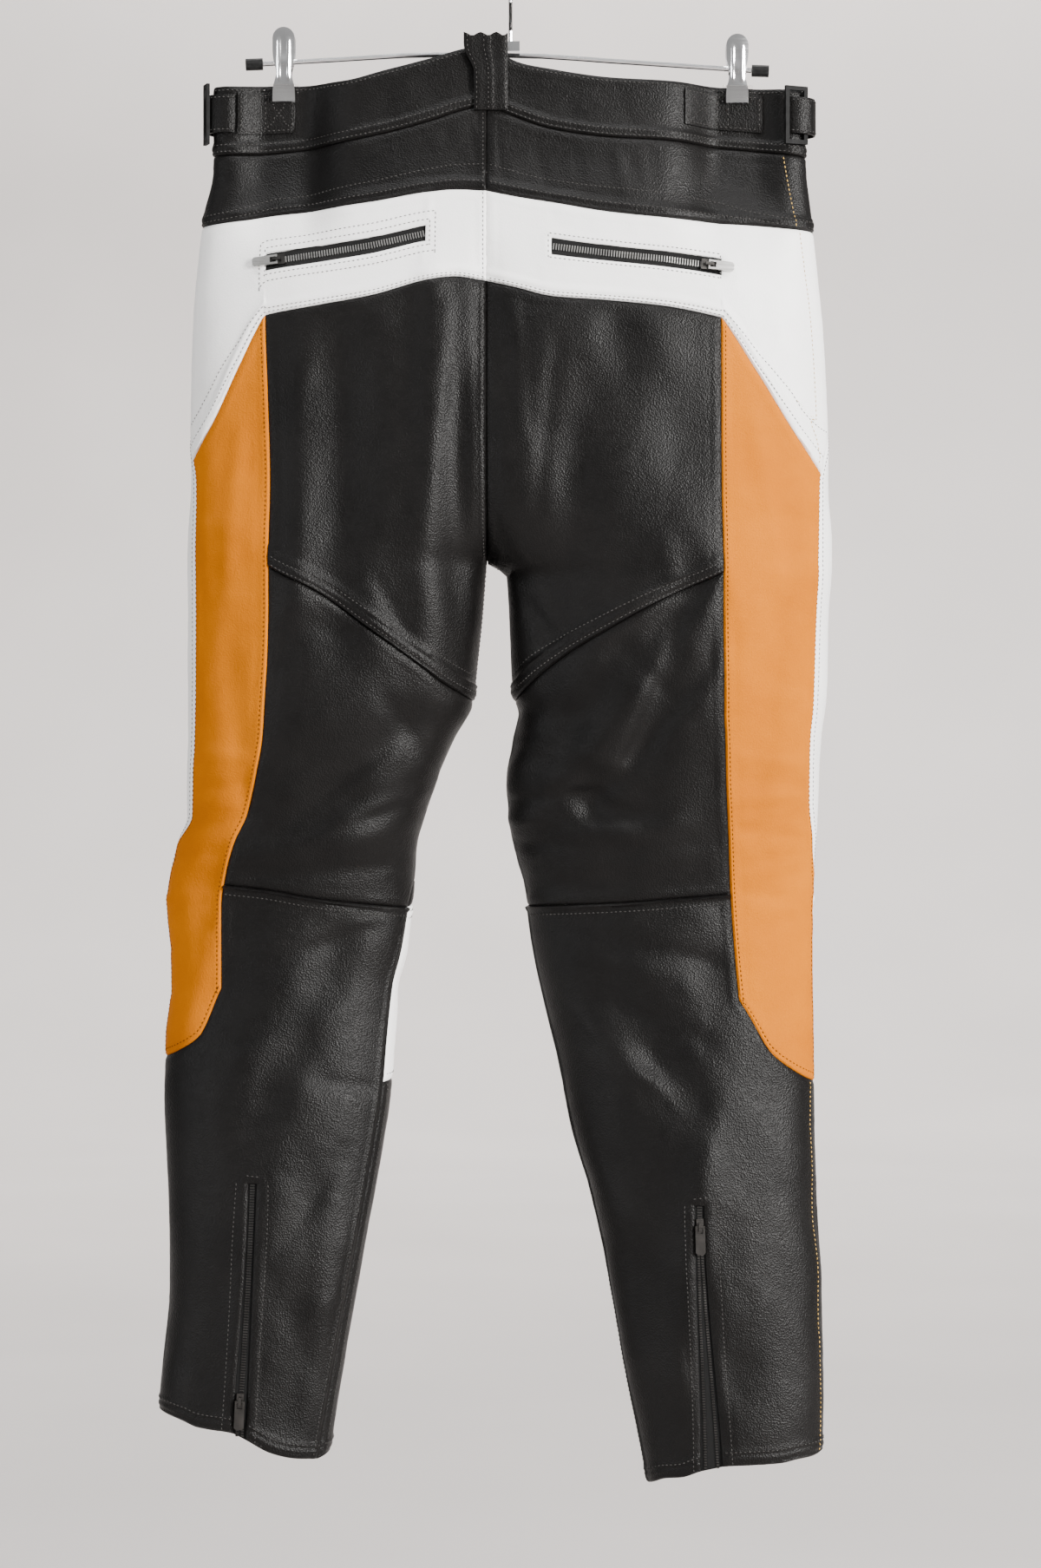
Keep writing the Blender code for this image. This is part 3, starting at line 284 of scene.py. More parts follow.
# Small creases on each face, with the same fields
CREASES = {
    "back": (
        (-60, -178, -64, -212, 3.0, 0.7),
        (22, -148, 30, -178, 3.5, -0.8),
        (52, -150, 56, -184, 3.5, -0.7),
        (84, -152, 92, -190, 4.0, 0.8),
        (-46, -262, -50, -330, 4.0, 1.0),
        (4, -262, 10, -350, 4.5, 1.2),
        (34, -300, 22, -400, 5.0, -1.3),
        (-96, -470, -70, -520, 5.0, -1.2),
        (-6, -430, 26, -500, 5.0, -1.6),
        (12, -470, 62, -520, 5.0, 1.4),
        (90, -520, 130, -560, 6.0, -1.4),
        (118, -505, 84, -590, 6.0, 1.8),
        (18, -575, 88, -606, 5.0, 1.5),
        (12, -596, 96, -622, 4.5, -1.6),
        (26, -650, 120, -640, 5.0, -1.5),
        (40, -684, 132, -672, 5.0, 1.3),
        (-92, -600, -160, -652, 5.0, 1.6),
        (-84, -632, -150, -668, 4.5, -1.5),
        (-100, -680, -184, -688, 5.0, -1.3),
        (-110, -730, -176, -752, 6.0, -1.6),
        (-130, -790, -200, -822, 7.0, 1.5),
        (70, -735, 150, -752, 6.0, -1.6),
        (60, -800, 128, -862, 7.0, 1.6),
        (80, -905, 128, -960, 8.0, -1.6),
        (-128, -900, -168, -960, 8.0, -1.6),
        (-140, -1010, -176, -1052, 8.0, 1.3),
        (108, -1010, 134, -1066, 8.0, 1.4),
        (-190, -640, -244, -652, 4.0, -1.2),
        (-200, -668, -250, -690, 4.0, 1.1),
        (-222, -720, -258, -742, 4.5, -1.3),
        (172, -655, 232, -640, 4.0, -1.2),
        (176, -690, 232, -674, 4.0, 1.2),
        (180, -730, 232, -716, 4.5, -1.2),
        (168, -400, 236, -412, 5.0, 1.0),
        (-186, -430, -240, -420, 5.0, 1.0),
        (160, -475, 34, -622, 13.0, 3.6),
        (162, -515, 64, -632, 9.0, -2.8),
        (-4, -632, 62, -624, 5.0, -2.4),
        (0, -645, 84, -652, 5.5, 2.2),
        (4, -663, 96, -668, 5.0, -1.8),
        (118, -440, 140, -520, 9.0, 1.6),
        (-88, -560, -60, -600, 7.0, -2.0),
        (-120, -640, -76, -628, 5.0, 1.8),
        (60, -745, 130, -770, 8.0, 1.8),
        (66, -780, 146, -812, 7.0, -1.8),
        (72, -830, 120, -846, 6.0, 1.5),
        (-96, -850, -140, -842, 7.0, -1.6),
        (166, -596, 238, -606, 3.6, 1.3),
        (170, -612, 238, -622, 3.2, -1.4),
        (168, -632, 236, -624, 3.4, 1.3),
        (172, -652, 238, -662, 3.2, -1.5),
        (168, -672, 230, -664, 3.2, 1.2),
        (176, -700, 236, -708, 3.6, -1.3),
        (184, -340, 206, -470, 7.0, 1.6),
        (214, -430, 200, -560, 7.0, -1.6),
        (-190, -600, -248, -592, 3.6, 1.2),
        (-196, -616, -250, -622, 3.2, -1.3),
        (-202, -634, -252, -628, 3.2, 1.2),
        (-208, -664, -258, -676, 3.4, -1.4),
        (-216, -700, -262, -706, 3.6, 1.2),
        (-204, -360, -216, -500, 7.0, 1.5),
    ),
    "front": (
        (-120, -240, -100, -330, 7.0, -1.5),
        (110, -240, 84, -330, 7.0, -1.5),
        (-60, -430, -150, -400, 7.0, 1.8),
        (50, -430, 130, -404, 7.0, 1.8),
        (-110, -720, -230, -700, 7.0, -1.8),
        (60, -724, 200, -704, 7.0, -1.8),
        (-110, -760, -230, -744, 7.0, 1.6),
        (60, -764, 200, -748, 7.0, 1.6),
    ),
}

# Uneven wrinkles of each panel: size across, size down, slant, height
FINE_GRAIN = (5.0, 5.0, 0.2, 0.05)
WRINKLES = {
    "waistband_back": ((6.5, 24.0, 0.55, 0.55), (24.0, 20.0, 0.0, 0.35)),
    "waistband_front": ((6.5, 24.0, -0.5, 0.55), (24.0, 20.0, 0.0, 0.30)),
    "yoke_back": ((9.0, 34.0, 0.15, 0.75), (34.0, 30.0, 0.0, 1.4), FINE_GRAIN),
    "yoke_front": ((9.0, 34.0, -0.12, 0.45), (34.0, 30.0, 0.0, 0.9), FINE_GRAIN),
    "hip_band": ((14.0, 26.0, 0.1, 0.30), (40.0, 36.0, 0.0, 1.0), FINE_GRAIN),
    "seat_panel": ((30.0, 80.0, 0.2, 3.2), (15.0, 30.0, -0.3, 0.45), FINE_GRAIN),
    "side_panel": ((19.0, 8.0, 0.15, 0.9), (44.0, 50.0, 0.2, 2.2), (7.0, 6.0, 0.3, 0.22)),
    "thigh_back": ((44.0, 32.0, 0.5, 3.6), (19.0, 9.0, 0.35, 0.5), FINE_GRAIN),
    "calf_back": ((36.0, 52.0, 0.4, 3.0), (18.0, 13.0, -0.3, 0.45), FINE_GRAIN),
    "thigh_outer_front": ((50.0, 54.0, 0.2, 1.8), (16.0, 18.0, -0.3, 0.35), FINE_GRAIN),
    "thigh_inner_front": ((40.0, 46.0, -0.3, 1.9), (16.0, 16.0, 0.3, 0.4), FINE_GRAIN),
    "knee_front": ((50.0, 22.0, 0.1, 1.4), (18.0, 12.0, 0.2, 0.45), FINE_GRAIN),
    "shin_front": ((40.0, 64.0, 0.2, 2.0), (18.0, 18.0, 0.3, 0.35), FINE_GRAIN),
}

# Edges that are folded under and stand proud: width and height of the fold
LAP_FIELDS = ("panel", "line", "column", "sides", "width", "height")
LAPS = (
    ("waistband_back", "band", None, BOTH, 10.5, 1.15),
    ("waistband_front", "band", None, BOTH, 10.5, 1.15),
    ("yoke_back", "yoke", None, BOTH, 11.0, 1.3),
    ("yoke_front", "yoke", None, BOTH, 11.0, 1.3),
    ("yoke_back", None, 0, (LEFT,), 5.5, 1.1),
    ("hip_band", "hip", None, BOTH, 10.5, 1.2),
    ("hip_band", None, 0, (LEFT,), 5.5, 0.6),
    ("seat_panel", "seat", None, BOTH, 13.5, 1.8),
    ("seat_panel", None, 0, (LEFT,), 6.0, 1.2),
    ("calf_back", "knee", None, BOTH, 3.8, 2.2),
    ("side_panel", None, 5, BOTH, 5.2, 0.9),
    ("side_panel", None, 8, BOTH, 6.0, 0.6),
    ("side_panel", "trim", None, BOTH, 5.2, 0.6),
    ("calf_back", None, 0, BOTH, 9.5, 0.8),
    ("calf_back", "hem", None, BOTH, 13.0, 0.8),
    ("shin_front", "hem", None, BOTH, 13.0, 0.8),
    ("thigh_outer_front", None, 12, BOTH, 11.0, 0.8),
    ("knee_front", "knee", None, BOTH, 11.0, 0.8),
)

# Stitches beside the seams that cross the sheet: offsets in millimetres, down the sheet above zero
LEVEL_FIELDS = ("panel", "line", "first", "last", "colour", "sides", "offsets")
LEVEL_STITCHES = (
    ("waistband_back", "waist", 0, 8, "black", BOTH, (3.0,)),
    ("waistband_front", "waist", 8, 16, "black", BOTH, (3.0,)),
    ("waistband_back", "band", 0, 8, "black", BOTH, (-2.8, -8.0)),
    ("waistband_front", "band", 8, 16, "black", BOTH, (-2.8, -8.0)),
    ("yoke_back", "yoke", 0, 8, "black", BOTH, (-3.0, -8.6)),
    ("yoke_front", "yoke", 8, 16, "black", BOTH, (-3.0, -8.6)),
    ("hip_band", "hip", 0, 8, "white", BOTH, (-3.0, -8.4)),
    ("seat_panel", "seat", 0, 5, "black", BOTH, (-3.2, -11.0)),
    ("calf_back", "knee", 0, 5, "black", BOTH, (7.0,)),
    ("side_panel", "trim", 5, 8, "orange", BOTH, (-3.4,)),
    ("calf_back", "hem", 0, 3, "black", BOTH, (-10.5,)),
    ("calf_back", "hem", 4, 8, "black", BOTH, (-10.5,)),
    ("shin_front", "hem", 8, 16, "black", BOTH, (-10.5,)),
    ("thigh_outer_front", "yoke", 8, 12, "white", BOTH, (3.0,)),
    ("knee_front", "knee", 8, 16, "white", BOTH, (3.4, 8.8)),
    ("knee_front", "trim", 8, 16, "white", BOTH, (-3.4,)),
)

# Stitches beside the seams that run down the sheet: offsets towards higher columns above zero
UPRIGHT_FIELDS = ("panel", "column", "top", "bottom", "colour", "sides", "offsets")
UPRIGHT_STITCHES = (
    ("yoke_back", 0, "band", "yoke", "black", (LEFT,), (2.8,)),
    ("hip_band", 0, "yoke", "hip", "white", (LEFT,), (2.8,)),
    ("seat_panel", 0, "hip", "seat", "black", (LEFT,), (3.4,)),
    ("side_panel", 5, "hip", "trim", "orange", BOTH, (3.2,)),
    ("side_panel", 8, "hip", "trim", "orange", BOTH, (-4.0,)),
    ("calf_back", 0, "trim", "hem", "black", BOTH, (8.0,)),
    ("yoke_back", 8, "band", "yoke", "gold", (RIGHT,), (-24.0,)),
    ("hip_band", 8, "yoke", "hip", "gold", (RIGHT,), (-20.0,)),
    ("calf_back", 8, "trim", "hem", "gold", (RIGHT,), (-14.0,)),
    ("thigh_outer_front", 8, "yoke", "knee", "white", BOTH, (4.0,)),
    ("thigh_outer_front", 12, "yoke", "knee", "white", BOTH, (-3.2, -8.6)),
    ("thigh_inner_front", 16, "yoke", "knee", "black", (RIGHT,), (-3.4,)),
    ("shin_front", 16, "trim", "hem", "black", BOTH, (-6.0,)),
)

# Folds and creases: how far they fade past their ends, and where the folds start below the waist
FOLD_FADE = 30.0
CREASE_FADE = 14.0
FOLDS_TOP_Z = -150
FOLDS_FULL_Z = -250

# Noise of the wrinkles: its lattice, where it starts, and how its creases wander
LATTICE = 128
NOISE_START = (50, 200)
DEPTH_STRETCH = 2.5
BEND = 6.0
BEND_SIZE = 45.0
BEND_DEPTH = 60.0
BEND_START = 7
BEND_SEED = 31
RIDGE_SOFTNESS = 0.02
RIDGE_MEAN = 0.45
BROAD_SHARE = 0.7

# Across a seam: height, distance in and width of the dip at the edge and of the swells beside it
SEAM_WAVES = ((-0.8, 0.0, 1.2), (0.35, 5.5, 2.6), (0.15, 12.5, 3.5))
WRINKLE_START = 9.0
PUCKER = (5.5, 5.5, 0.15, 0.5)
PUCKER_SEED = 900
PUCKER_REACH = 7.0
PUCKER_START = 3.0

# Folded edges: how they rise and fall, and how deep the rows of stitches sink in
LAP_RISE = 1.4
LAP_FALL = 2.2
LAP_SEWN = (3.0, 8.6)
SEWN_WIDTH = 1.1
SEWN_DEPTH = 0.65
NARROW_LAP = 5.0

# Rows of stitches round the zips: distances out from their windows
WINDOW_OFFSETS = {LEFT: (4.0, 9.0), RIGHT: (3.2,)}
SLIT_OFFSET = 4.2
SLIT_TOP_OFFSET = 5.0

# Grid of the panels: distances in from a seam, the step elsewhere, and how high a thread lies
EDGE_STEPS = (0.0, 0.7, 1.6, 3.0, 4.4, 5.8, 7.3, 8.6, 10.0, 11.6, 13.4, 16.0)
PANEL_STEP = 4.6
FINE_STEP = 2.2
EDGE_PARTS = 7
PATH_SAMPLES = 160
EDGE_SHARE = 0.45
LEAST_STEP = 0.3
SHARP = math.radians(50)
BROAD_FOLD = 20.0
WINDOW_TURN = 1.2
THREAD_RISE = 0.1
EDGE_ROUNDING = 0.35

# Stitches: pitch, length and width, and how they swell and sink as shares and millimetres
STITCH_PITCH = 3.5
STITCH_LENGTH = 2.6
STITCH_WIDTH = 1.0
STITCH_CROWN = 0.55
STITCH_END_SINK = 0.12
STITCH_SINK = 0.3

# Waist adjusters, belt loop, fly and zips, as in the part
PATCH_COLUMNS = {LEFT: (5.05, 6.95), RIGHT: (4.3, 6.35)}
ADJUSTER_ROWS = (0.2, 1.4)
PATCH_LIFT = 0.7
PATCH_WALL = 1.7
STRAP_WALL = 1.7
STRAP_ROWS = (0.25, 1.35)
CROSS_SPLIT = {LEFT: 0.52, RIGHT: 0.48}
STRAP_LIFTS = {LEFT: (0.8, 2.2, 3.0, 2.2, 0.8), RIGHT: (0.8, 4.5, 6.5, 4.5, 0.8)}
STRAP_COLUMNS = {LEFT: (7.05, 7.5, 8.0, 8.5, 8.95), RIGHT: (7.15, 7.6, 8.0, 8.4, 8.85)}
LOOP_X = (-26.5, -1.0)
LOOP_WALL = 2.0
LOOP_PITCH = 9.0
LOOP_FLARE = 8.0
LOOP_DROPS = (50.5, 55.0, 68.0, 76.0, 86.0, 98.0, 108.0)
LOOP_STANDS = (4.2, 3.6, 3.0, 3.6, 3.4, 2.0, 1.0)
PLACKET_X = (-34.0, 2.0)
PLACKET_Z = (-150.0, -318.0)
PLACKET_WALL = 1.6
PLACKET_LIFT = 1.0
PLACKET_LEAN = 3.0
TAPE_DROP = LEATHER + 0.4
TAPE_WALL = 1.0
TOOTH_PITCH = 2.0
TAPE_MARGIN = 0.3
POCKET_TAPE_COLUMNS = (1.85, 5.12)
POCKET_TEETH_COLUMNS = (2.0, 4.75)
POCKET_WINDOW_END = 4.9
POCKET_TOOTH = (1.2, 2.6, 1.1)
POCKET_TOOTH_SHIFT = 1.2
ANKLE_TAPE_COLUMNS = (2.85, 4.15)
ANKLE_TAPE_RISE = 0.25
ANKLE_TOOTH = (1.3, 2.0, 1.0)
ANKLE_TOOTH_SHIFT = 0.8
ANKLE_OPEN_ROWS = {LEFT: 4.3, RIGHT: 0.4}
ANKLE_OPENING = {LEFT: 1.4, RIGHT: 3.9}

# Clips: the foot of each jaw, and how far the plates stand out
JAW_BITE = 12.0
JAW_FACE = 7.5
JAW_HALF = 8.5
JAW_WALL = 1.4
JAW_TOP_RISE = 26.0
JAW_NEAR = {"back": 5.75, "front": 3.25}
JAW_FAR = 6.1
JAW_WAIST = (2.8, 22.0, 8.0)
JAW_BEND = (9.0, 18.0)
JAW_LEAN = 0.9
JAW_LEAN_START = 0.62
JAW_DISH = (0.05, 14.0)
RIB_PLACE = 3.6
RIB_WIDTH = 1.2
RIB_HEIGHT = 0.8
RIB_FOOT = (15.0, 19.0)
RIB_TOP = (7.0, 11.0)
BOSS_HEIGHT = 0.9
BOSS_SIZE = 14.0
ROD_POINTS = ((-188, -67.6), (-130, -64.2), (-58, -60.6), (8, -61.2), (90, -66.2), (150, -70.2),
              (185, -72.6))
COVER_HALF_WIDTH = 11.5
COVER_HEIGHT = 13.5
COVER_DROP = 0.8
COVER_FACES = (1.1, 0.05)
COVER_BEVEL = 0.5

# Studio, lights and camera, in metres
FLOOR_Z = -1.42
FLOOR_START_Y = -9.0
WALL_Y = 8.0
WALL_TOP_Z = 6.5
COVE_RADIUS = 2.4
COVE_STEPS = 12
STAGE_HALF = 9.0
LIGHTS = (
    ("key", (2.3, -2.1, 0.25), (0.0, 0.0, -0.6), (0.8, 1.6), 300.0, (1.0, 0.985, 0.965)),
    ("fill", (-2.3, -1.5, -0.3), (0.0, 0.0, -0.6), (0.6, 1.8), 30.0, (0.97, 0.985, 1.0)),
    ("top", (0.1, -0.7, 1.7), (0.0, 0.1, -0.4), (1.6, 0.7), 46.0, (1.0, 1.0, 1.0)),
    ("wall_wash", (0.8, 5.2, 5.2), (0.2, 7.6, -0.8), (4.0, 1.6), 1150.0, (1.0, 0.985, 0.965)),
)
ROOM_LOW = (0.62, 0.615, 0.61)
ROOM_HIGH = (1.0, 1.0, 1.0)
ROOM_STRENGTH = 0.5
CAMERA_PLACE = (0.00862, -3.0, -0.61758)
SENSOR_HEIGHT = 36.0
LENS = 90.15


def rows_of(fields, table):
    """Turn a table into one dictionary a row."""
    return [dict(zip(fields, row)) for row in table]


def smooth_step(start, end, value):
    """Rises from 0 at start to 1 at end."""
    t = np.clip((value - start) / (end - start), 0.0, 1.0)
    return t * t * (3.0 - 2.0 * t)


def curve(xs, ys, x, corners=()):
    """A smooth curve without overshoot through rising xs, with a kink at each listed corner.

    ys holds a value, or a whole array of values, for each of xs.
    """
    xs = np.asarray(xs, float)
    ys = np.asarray(ys, float)
    x = np.clip(np.asarray(x, float), xs[0], xs[-1])
    spans = np.diff(xs).reshape((-1,) + (1,) * (ys.ndim - 1))
    slopes = np.diff(ys, axis=0) / spans
    before, after = slopes[:-1], slopes[1:]
    steady = before * after > 0.0
    middle = np.where(steady, 2.0 * before * after / np.where(steady, before + after, 1.0), 0.0)
    starts = np.concatenate([slopes[:1], middle])
    ends = np.concatenate([middle, slopes[-1:]])
    for corner in corners:
        n = list(xs).index(corner)
        starts[n] = slopes[n]
        ends[n - 1] = slopes[n - 1]
    k = np.clip(np.searchsorted(xs, x, side="right") - 1, 0, len(xs) - 2)
    span = xs[k + 1] - xs[k]
    t = (x - xs[k]) / span

    def pick(values, at):
        if ys.ndim == 1:
            return values[at]
        return np.take_along_axis(values, at[None], axis=0)[0]

    start = pick(ys, k) * (1 + 2 * t) * (1 - t) ** 2 + pick(starts, k) * span * t * (1 - t) ** 2
    end = pick(ys, k + 1) * (3 - 2 * t) * t ** 2 + pick(ends, k) * span * (t - 1) * t ** 2
    return start + end


def profile(table, fields):
    """Read a table by depth below the origin: one function for each column after z."""
    falls = [-row[0] for row in table]

    def reader(index):
        values = [row[index] for row in table]
        return lambda z: curve(falls, values, -z)

    return {name: reader(index) for index, name in enumerate(fields) if index > 0}


OUTLINE = {side: profile(OUTLINES[side], OUTLINE_FIELDS) for side in SIDES}
DEPTH = profile(DEPTHS, DEPTH_FIELDS)
INSEAM = {side: profile(INSEAMS[side], INSEAM_FIELDS) for side in SIDES}
SIDE_SEAM = {side: profile(SIDE_SEAMS[side], SIDE_SEAM_FIELDS) for side in SIDES}
SLIT = {side: profile(SLITS[side], SLIT_FIELDS) for side in SIDES}
FOLD_ROWS = {face: rows_of(FOLD_FIELDS, rows) for face, rows in FOLDS.items()}
CREASE_ROWS = {face: rows_of(FOLD_FIELDS, rows) for face, rows in CREASES.items()}


def row_table():
    """The row of each seam line, and for each row its upper line and its share of the way down."""
    line_rows = {}
    steps = []
    for index, row in enumerate(rows_of(LINE_FIELDS, LINES[LEFT])):
        steps += [(index - 1, share) for share in row["steps"]] or [(0, 0.0)]
        line_rows[row["name"]] = len(steps) - 1
    return line_rows, steps


LINE_ROW, ROW_STEPS = row_table()
ROWS = len(ROW_STEPS) - 1
CROTCH_ROW = LINE_ROW["hip"] + 1 + SEAT_STEPS.index(CROTCH_SHARE)
STEP_LINE = np.array([line for line, _ in ROW_STEPS])
STEP_SHARE = np.array([share for _, share in ROW_STEPS])


def height(side, row, column):
    """Height of points of the sheet."""
    corners = (TRIM_COLUMN, SIDE_COLUMN)
    lines = np.stack([curve(LINE_COLUMNS, line[2:], column, corners) for line in LINES[side]])

    def at(whole):
        line = STEP_LINE[whole]
        top = np.take_along_axis(lines, line[None], axis=0)[0]
        bottom = np.take_along_axis(lines, (line + 1)[None], axis=0)[0]
        return top + (bottom - top) * STEP_SHARE[whole]

    low = np.clip(np.floor(row).astype(int), 0, ROWS - 1)
    return at(low) + (at(low + 1) - at(low)) * (row - low)


def centre_angle(z, rise):
    """Where the sheet stops at the centre seam: at the inner edge below the crotch, flat well above it."""
    t = np.clip((z - CROTCH_Z) / rise, 0.0, 1.0)
    return np.arcsin(np.minimum(np.sqrt(1.0 - (1.0 - t) ** 2), CENTRE_ANGLE_SINE))


def column_shares(side, z):
    """Share of the half's width at each column, from the inner edge to the side seam."""
    inner = OUTLINE[side]["inner"](z)
    width = OUTLINE[side]["outer"](z) - inner
    first = INSEAM[side]["share"](z)
    last = SIDE_SEAM[side]["share"](z)
    trim = (OUTLINE[side]["trim"](z) - inner) / width
    slit = [(SLIT[side][edge](z) - inner) / width for edge in ("inner", "outer")]
    calf = (slit[0] / 3, slit[0] * 2 / 3, slit[0], slit[1])
    blend = smooth_step(SLIT_BLEND_TOP_Z, SLIT_BLEND_END_Z, z)
    shares = [first]
    for upper, lower in zip(UPPER_SHARES, calf):
        above = first + (trim - first) * upper
        below = first + (trim - first) * lower / trim
        shares.append(above + (below - above) * blend)
    shares.append(trim)
    shares += [trim + (last - trim) * share for share in SIDE_PANEL_SHARES]
    shares.append(last)
    return np.stack(shares)


def fold_height(faces, back, x, z, fade):
    """Height of the listed folds, which fade over a distance past their ends."""
    total = np.zeros_like(x)
    for face, folds in faces.items():
        for fold in folds:
            run = (fold["x1"] - fold["x0"], fold["z1"] - fold["z0"])
            length = math.hypot(*run)
            along = ((x - fold["x0"]) * run[0] + (z - fold["z0"]) * run[1]) / length
            across = ((x - fold["x0"]) * run[1] - (z - fold["z0"]) * run[0]) / length
            over = np.maximum(np.maximum(-along, along - length), 0.0)
            rise = fold["height"] * np.exp(-(across / fold["width"]) ** 2 - (over / fade) ** 2)
            total += np.where(back == (face == "back"), rise, 0.0)
    return total


def side_turn(share, centre):
    """Angle round the leg from its outermost point to a share of the width."""
    return np.arccos(np.clip(share * (1.0 + np.cos(centre)) - np.cos(centre), -1.0, 1.0))


def turn_inseam(shares, mirrored, share, back):
    """Carry the front round the inner edge, where the inner leg seam lies on the back of the leg."""
    turned = ~back & (mirrored < INSEAM_TURN) & (shares[0] > 0.0)
    start = -np.arccos(1.0 - 2.0 * shares[0])
    end = np.arccos(1.0 - 2.0 * shares[INSEAM_TURN])
    turn = start + (end - start) * mirrored / INSEAM_TURN
    share = np.where(turned, (1.0 - np.cos(turn)) / 2.0, share)
    return share, back | (turned & (turn < 0.0))


def turn_side(shares, column, centre, share, back):
    """Carry the front round the outer edge to the side seam."""
    turned = (column > SIDE_COLUMN) & (column < SIDE_COLUMN + 1)
    start = -side_turn(shares[SIDE_COLUMN], centre)
    turn = start + (side_turn(shares[SIDE_COLUMN - 1], centre) - start) * (column - SIDE_COLUMN)
    share = np.where(turned, (np.cos(centre) + np.cos(turn)) / (1.0 + np.cos(centre)), share)
    return share, back | (turned & (turn < 0.0))


def pinched(side, x, z, reach):
    """Reach of the sheet where a clip presses the two waistbands together."""
    beside = np.maximum(np.abs(x - CLIP_X[side]) - PINCH_FLAT, 0.0)
    pinch = np.exp(-(beside / PINCH_WIDTH) ** 2) * smooth_step(PINCH_END_Z, PINCH_TOP_Z, z)
    pinch = np.where((np.abs(x) > abs(CLIP_X[side])) & (reach < PINCHED_HALF), 0.0, pinch)
    return PINCHED_HALF + (reach - PINCHED_HALF) * (1.0 - pinch)


def sheet_points(side, row, column):
    """Points of the sheet, in millimetres, as an array of x, y, z."""
    row, column = np.broadcast_arrays(np.asarray(row, float), np.asarray(column, float))
    z = height(side, row, column)
    shares = column_shares(side, z)
    back = column <= SIDE_COLUMN
    mirrored = np.where(back, column, COLUMNS - column)
    share = curve(range(SIDE_COLUMN + 1), shares, mirrored)
    share, back = turn_inseam(shares, mirrored, share, back)
    centre = centre_angle(z, np.where(back, BACK_RISE, FRONT_RISE))
    share, back = turn_side(shares, column, centre, share, back)
    cosine = np.cos(centre) - share * (1.0 + np.cos(centre))
    sine = np.sqrt(np.maximum(1.0 - cosine * cosine, 0.0))
    inner = OUTLINE[side]["inner"](z)
    x = inner + share * (OUTLINE[side]["outer"](z) - inner)
    reach = np.where(back, DEPTH["back"](z), DEPTH["front"](z)) * sine ** ROUNDNESS
    folds = fold_height(FOLD_ROWS, back, x, z, FOLD_FADE)
    reach = reach + folds * sine ** 2 * smooth_step(FOLDS_TOP_Z, FOLDS_FULL_Z, z)
    reach = pinched(side, x, z, reach)
    y = DEPTH["middle"](z) + np.where(back, -reach, reach)
    return np.stack([x, y, z], axis=-1)


def unit(vectors):
    """Vectors of length 1."""
    return vectors / np.maximum(np.linalg.norm(vectors, axis=-1, keepdims=True), 1e-9)


def sheet_normals(side, row, column):
    """Outward normals of the sheet, shared by the panels that meet at a seam."""
    row, column = np.broadcast_arrays(np.asarray(row, float), np.asarray(column, float))
    small = 0.05
    centre = (column <= 0.0) | (column >= COLUMNS)
    above = row <= CROTCH_ROW
    low = np.minimum(row + small, np.where(centre & above, CROTCH_ROW, ROWS))
    high = np.maximum(row - small, np.where(centre & ~above, CROTCH_ROW, 0))
    down = sheet_points(side, low, column) - sheet_points(side, high, column)
    left = np.maximum(column - small, 0)
    right = np.minimum(column + small, COLUMNS)
    across = sheet_points(side, row, right) - sheet_points(side, row, left)
    seam = sheet_points(side, row, np.full(row.shape, small)) - sheet_points(
        side, row, np.full(row.shape, COLUMNS - small))
    flat = np.zeros_like(across)
    flat[..., 0] = np.where(column <= 0.0, side, -side)
    across = np.where((centre & above)[..., None], flat, across)
    across = np.where((centre & ~above)[..., None], seam, across)
    out = unit(np.cross(down, across) * side)
    at_crotch = centre & (row == CROTCH_ROW)
    return np.where(at_crotch[..., None], np.array([0.0, 0.0, -1.0]), out)


PANEL_ROWS = rows_of(PANEL_FIELDS, PANELS)
LAP_ROWS = rows_of(LAP_FIELDS, LAPS)
SEEDS = {panel["name"]: 11 * (index + 1) for index, panel in enumerate(PANEL_ROWS)}
POCKET_ROW = LINE_ROW["yoke"] + 2
POCKET_COLUMN = 2


def lattice_noise(u, v, seed):
    """Smooth value noise from 0 to 1 on a unit lattice."""
    table = np.random.RandomState(seed).rand(LATTICE, LATTICE)
    iu, iv = np.floor(u).astype(int), np.floor(v).astype(int)
    fu, fv = u - iu, v - iv
    fu, fv = fu * fu * (3 - 2 * fu), fv * fv * (3 - 2 * fv)

    def at(a, b):
        return table[(iu + a) % LATTICE, (iv + b) % LATTICE]

    top = at(0, 0) * (1 - fu) + at(1, 0) * fu
    bottom = at(0, 1) * (1 - fu) + at(1, 1) * fu
    return top * (1 - fv) + bottom * fv


def wrinkles(points, layers, seed):
    """Uneven creases: each layer has a size across, a size down, a slant and a height."""
    x, y, z = points[..., 0], points[..., 1], points[..., 2]
    total = np.zeros_like(x)
    for index, (across, down, slant, rise) in enumerate(layers):
        place = (x / BEND_SIZE + BEND_START, z / BEND_SIZE + y / BEND_DEPTH)
        bend = BEND * lattice_noise(*place, seed + BEND_SEED + index)
        u = (x + slant * z + bend) / across + NOISE_START[0]
        v = (z - slant * x + bend) / down + y / (DEPTH_STRETCH * down) + NOISE_START[1]
        soft = 2.0 * lattice_noise(u, v, seed + index) - 1.0
        ridge = 1.0 - np.sqrt(soft * soft + RIDGE_SOFTNESS)
        total += rise * (ridge - RIDGE_MEAN if across < BROAD_FOLD else soft * BROAD_SHARE)
    return total


def seam_profile(distance):
    """How a panel rounds down into its seam and is drawn in by its rows of stitches."""
    return sum(rise * np.exp(-((distance - place) / width) ** 2) for rise, place, width in SEAM_WAVES)


def path_run(path):
    """Distance along a path to each of its points."""
    return np.concatenate([[0.0], np.cumsum(np.linalg.norm(np.diff(path, axis=0), axis=1))])


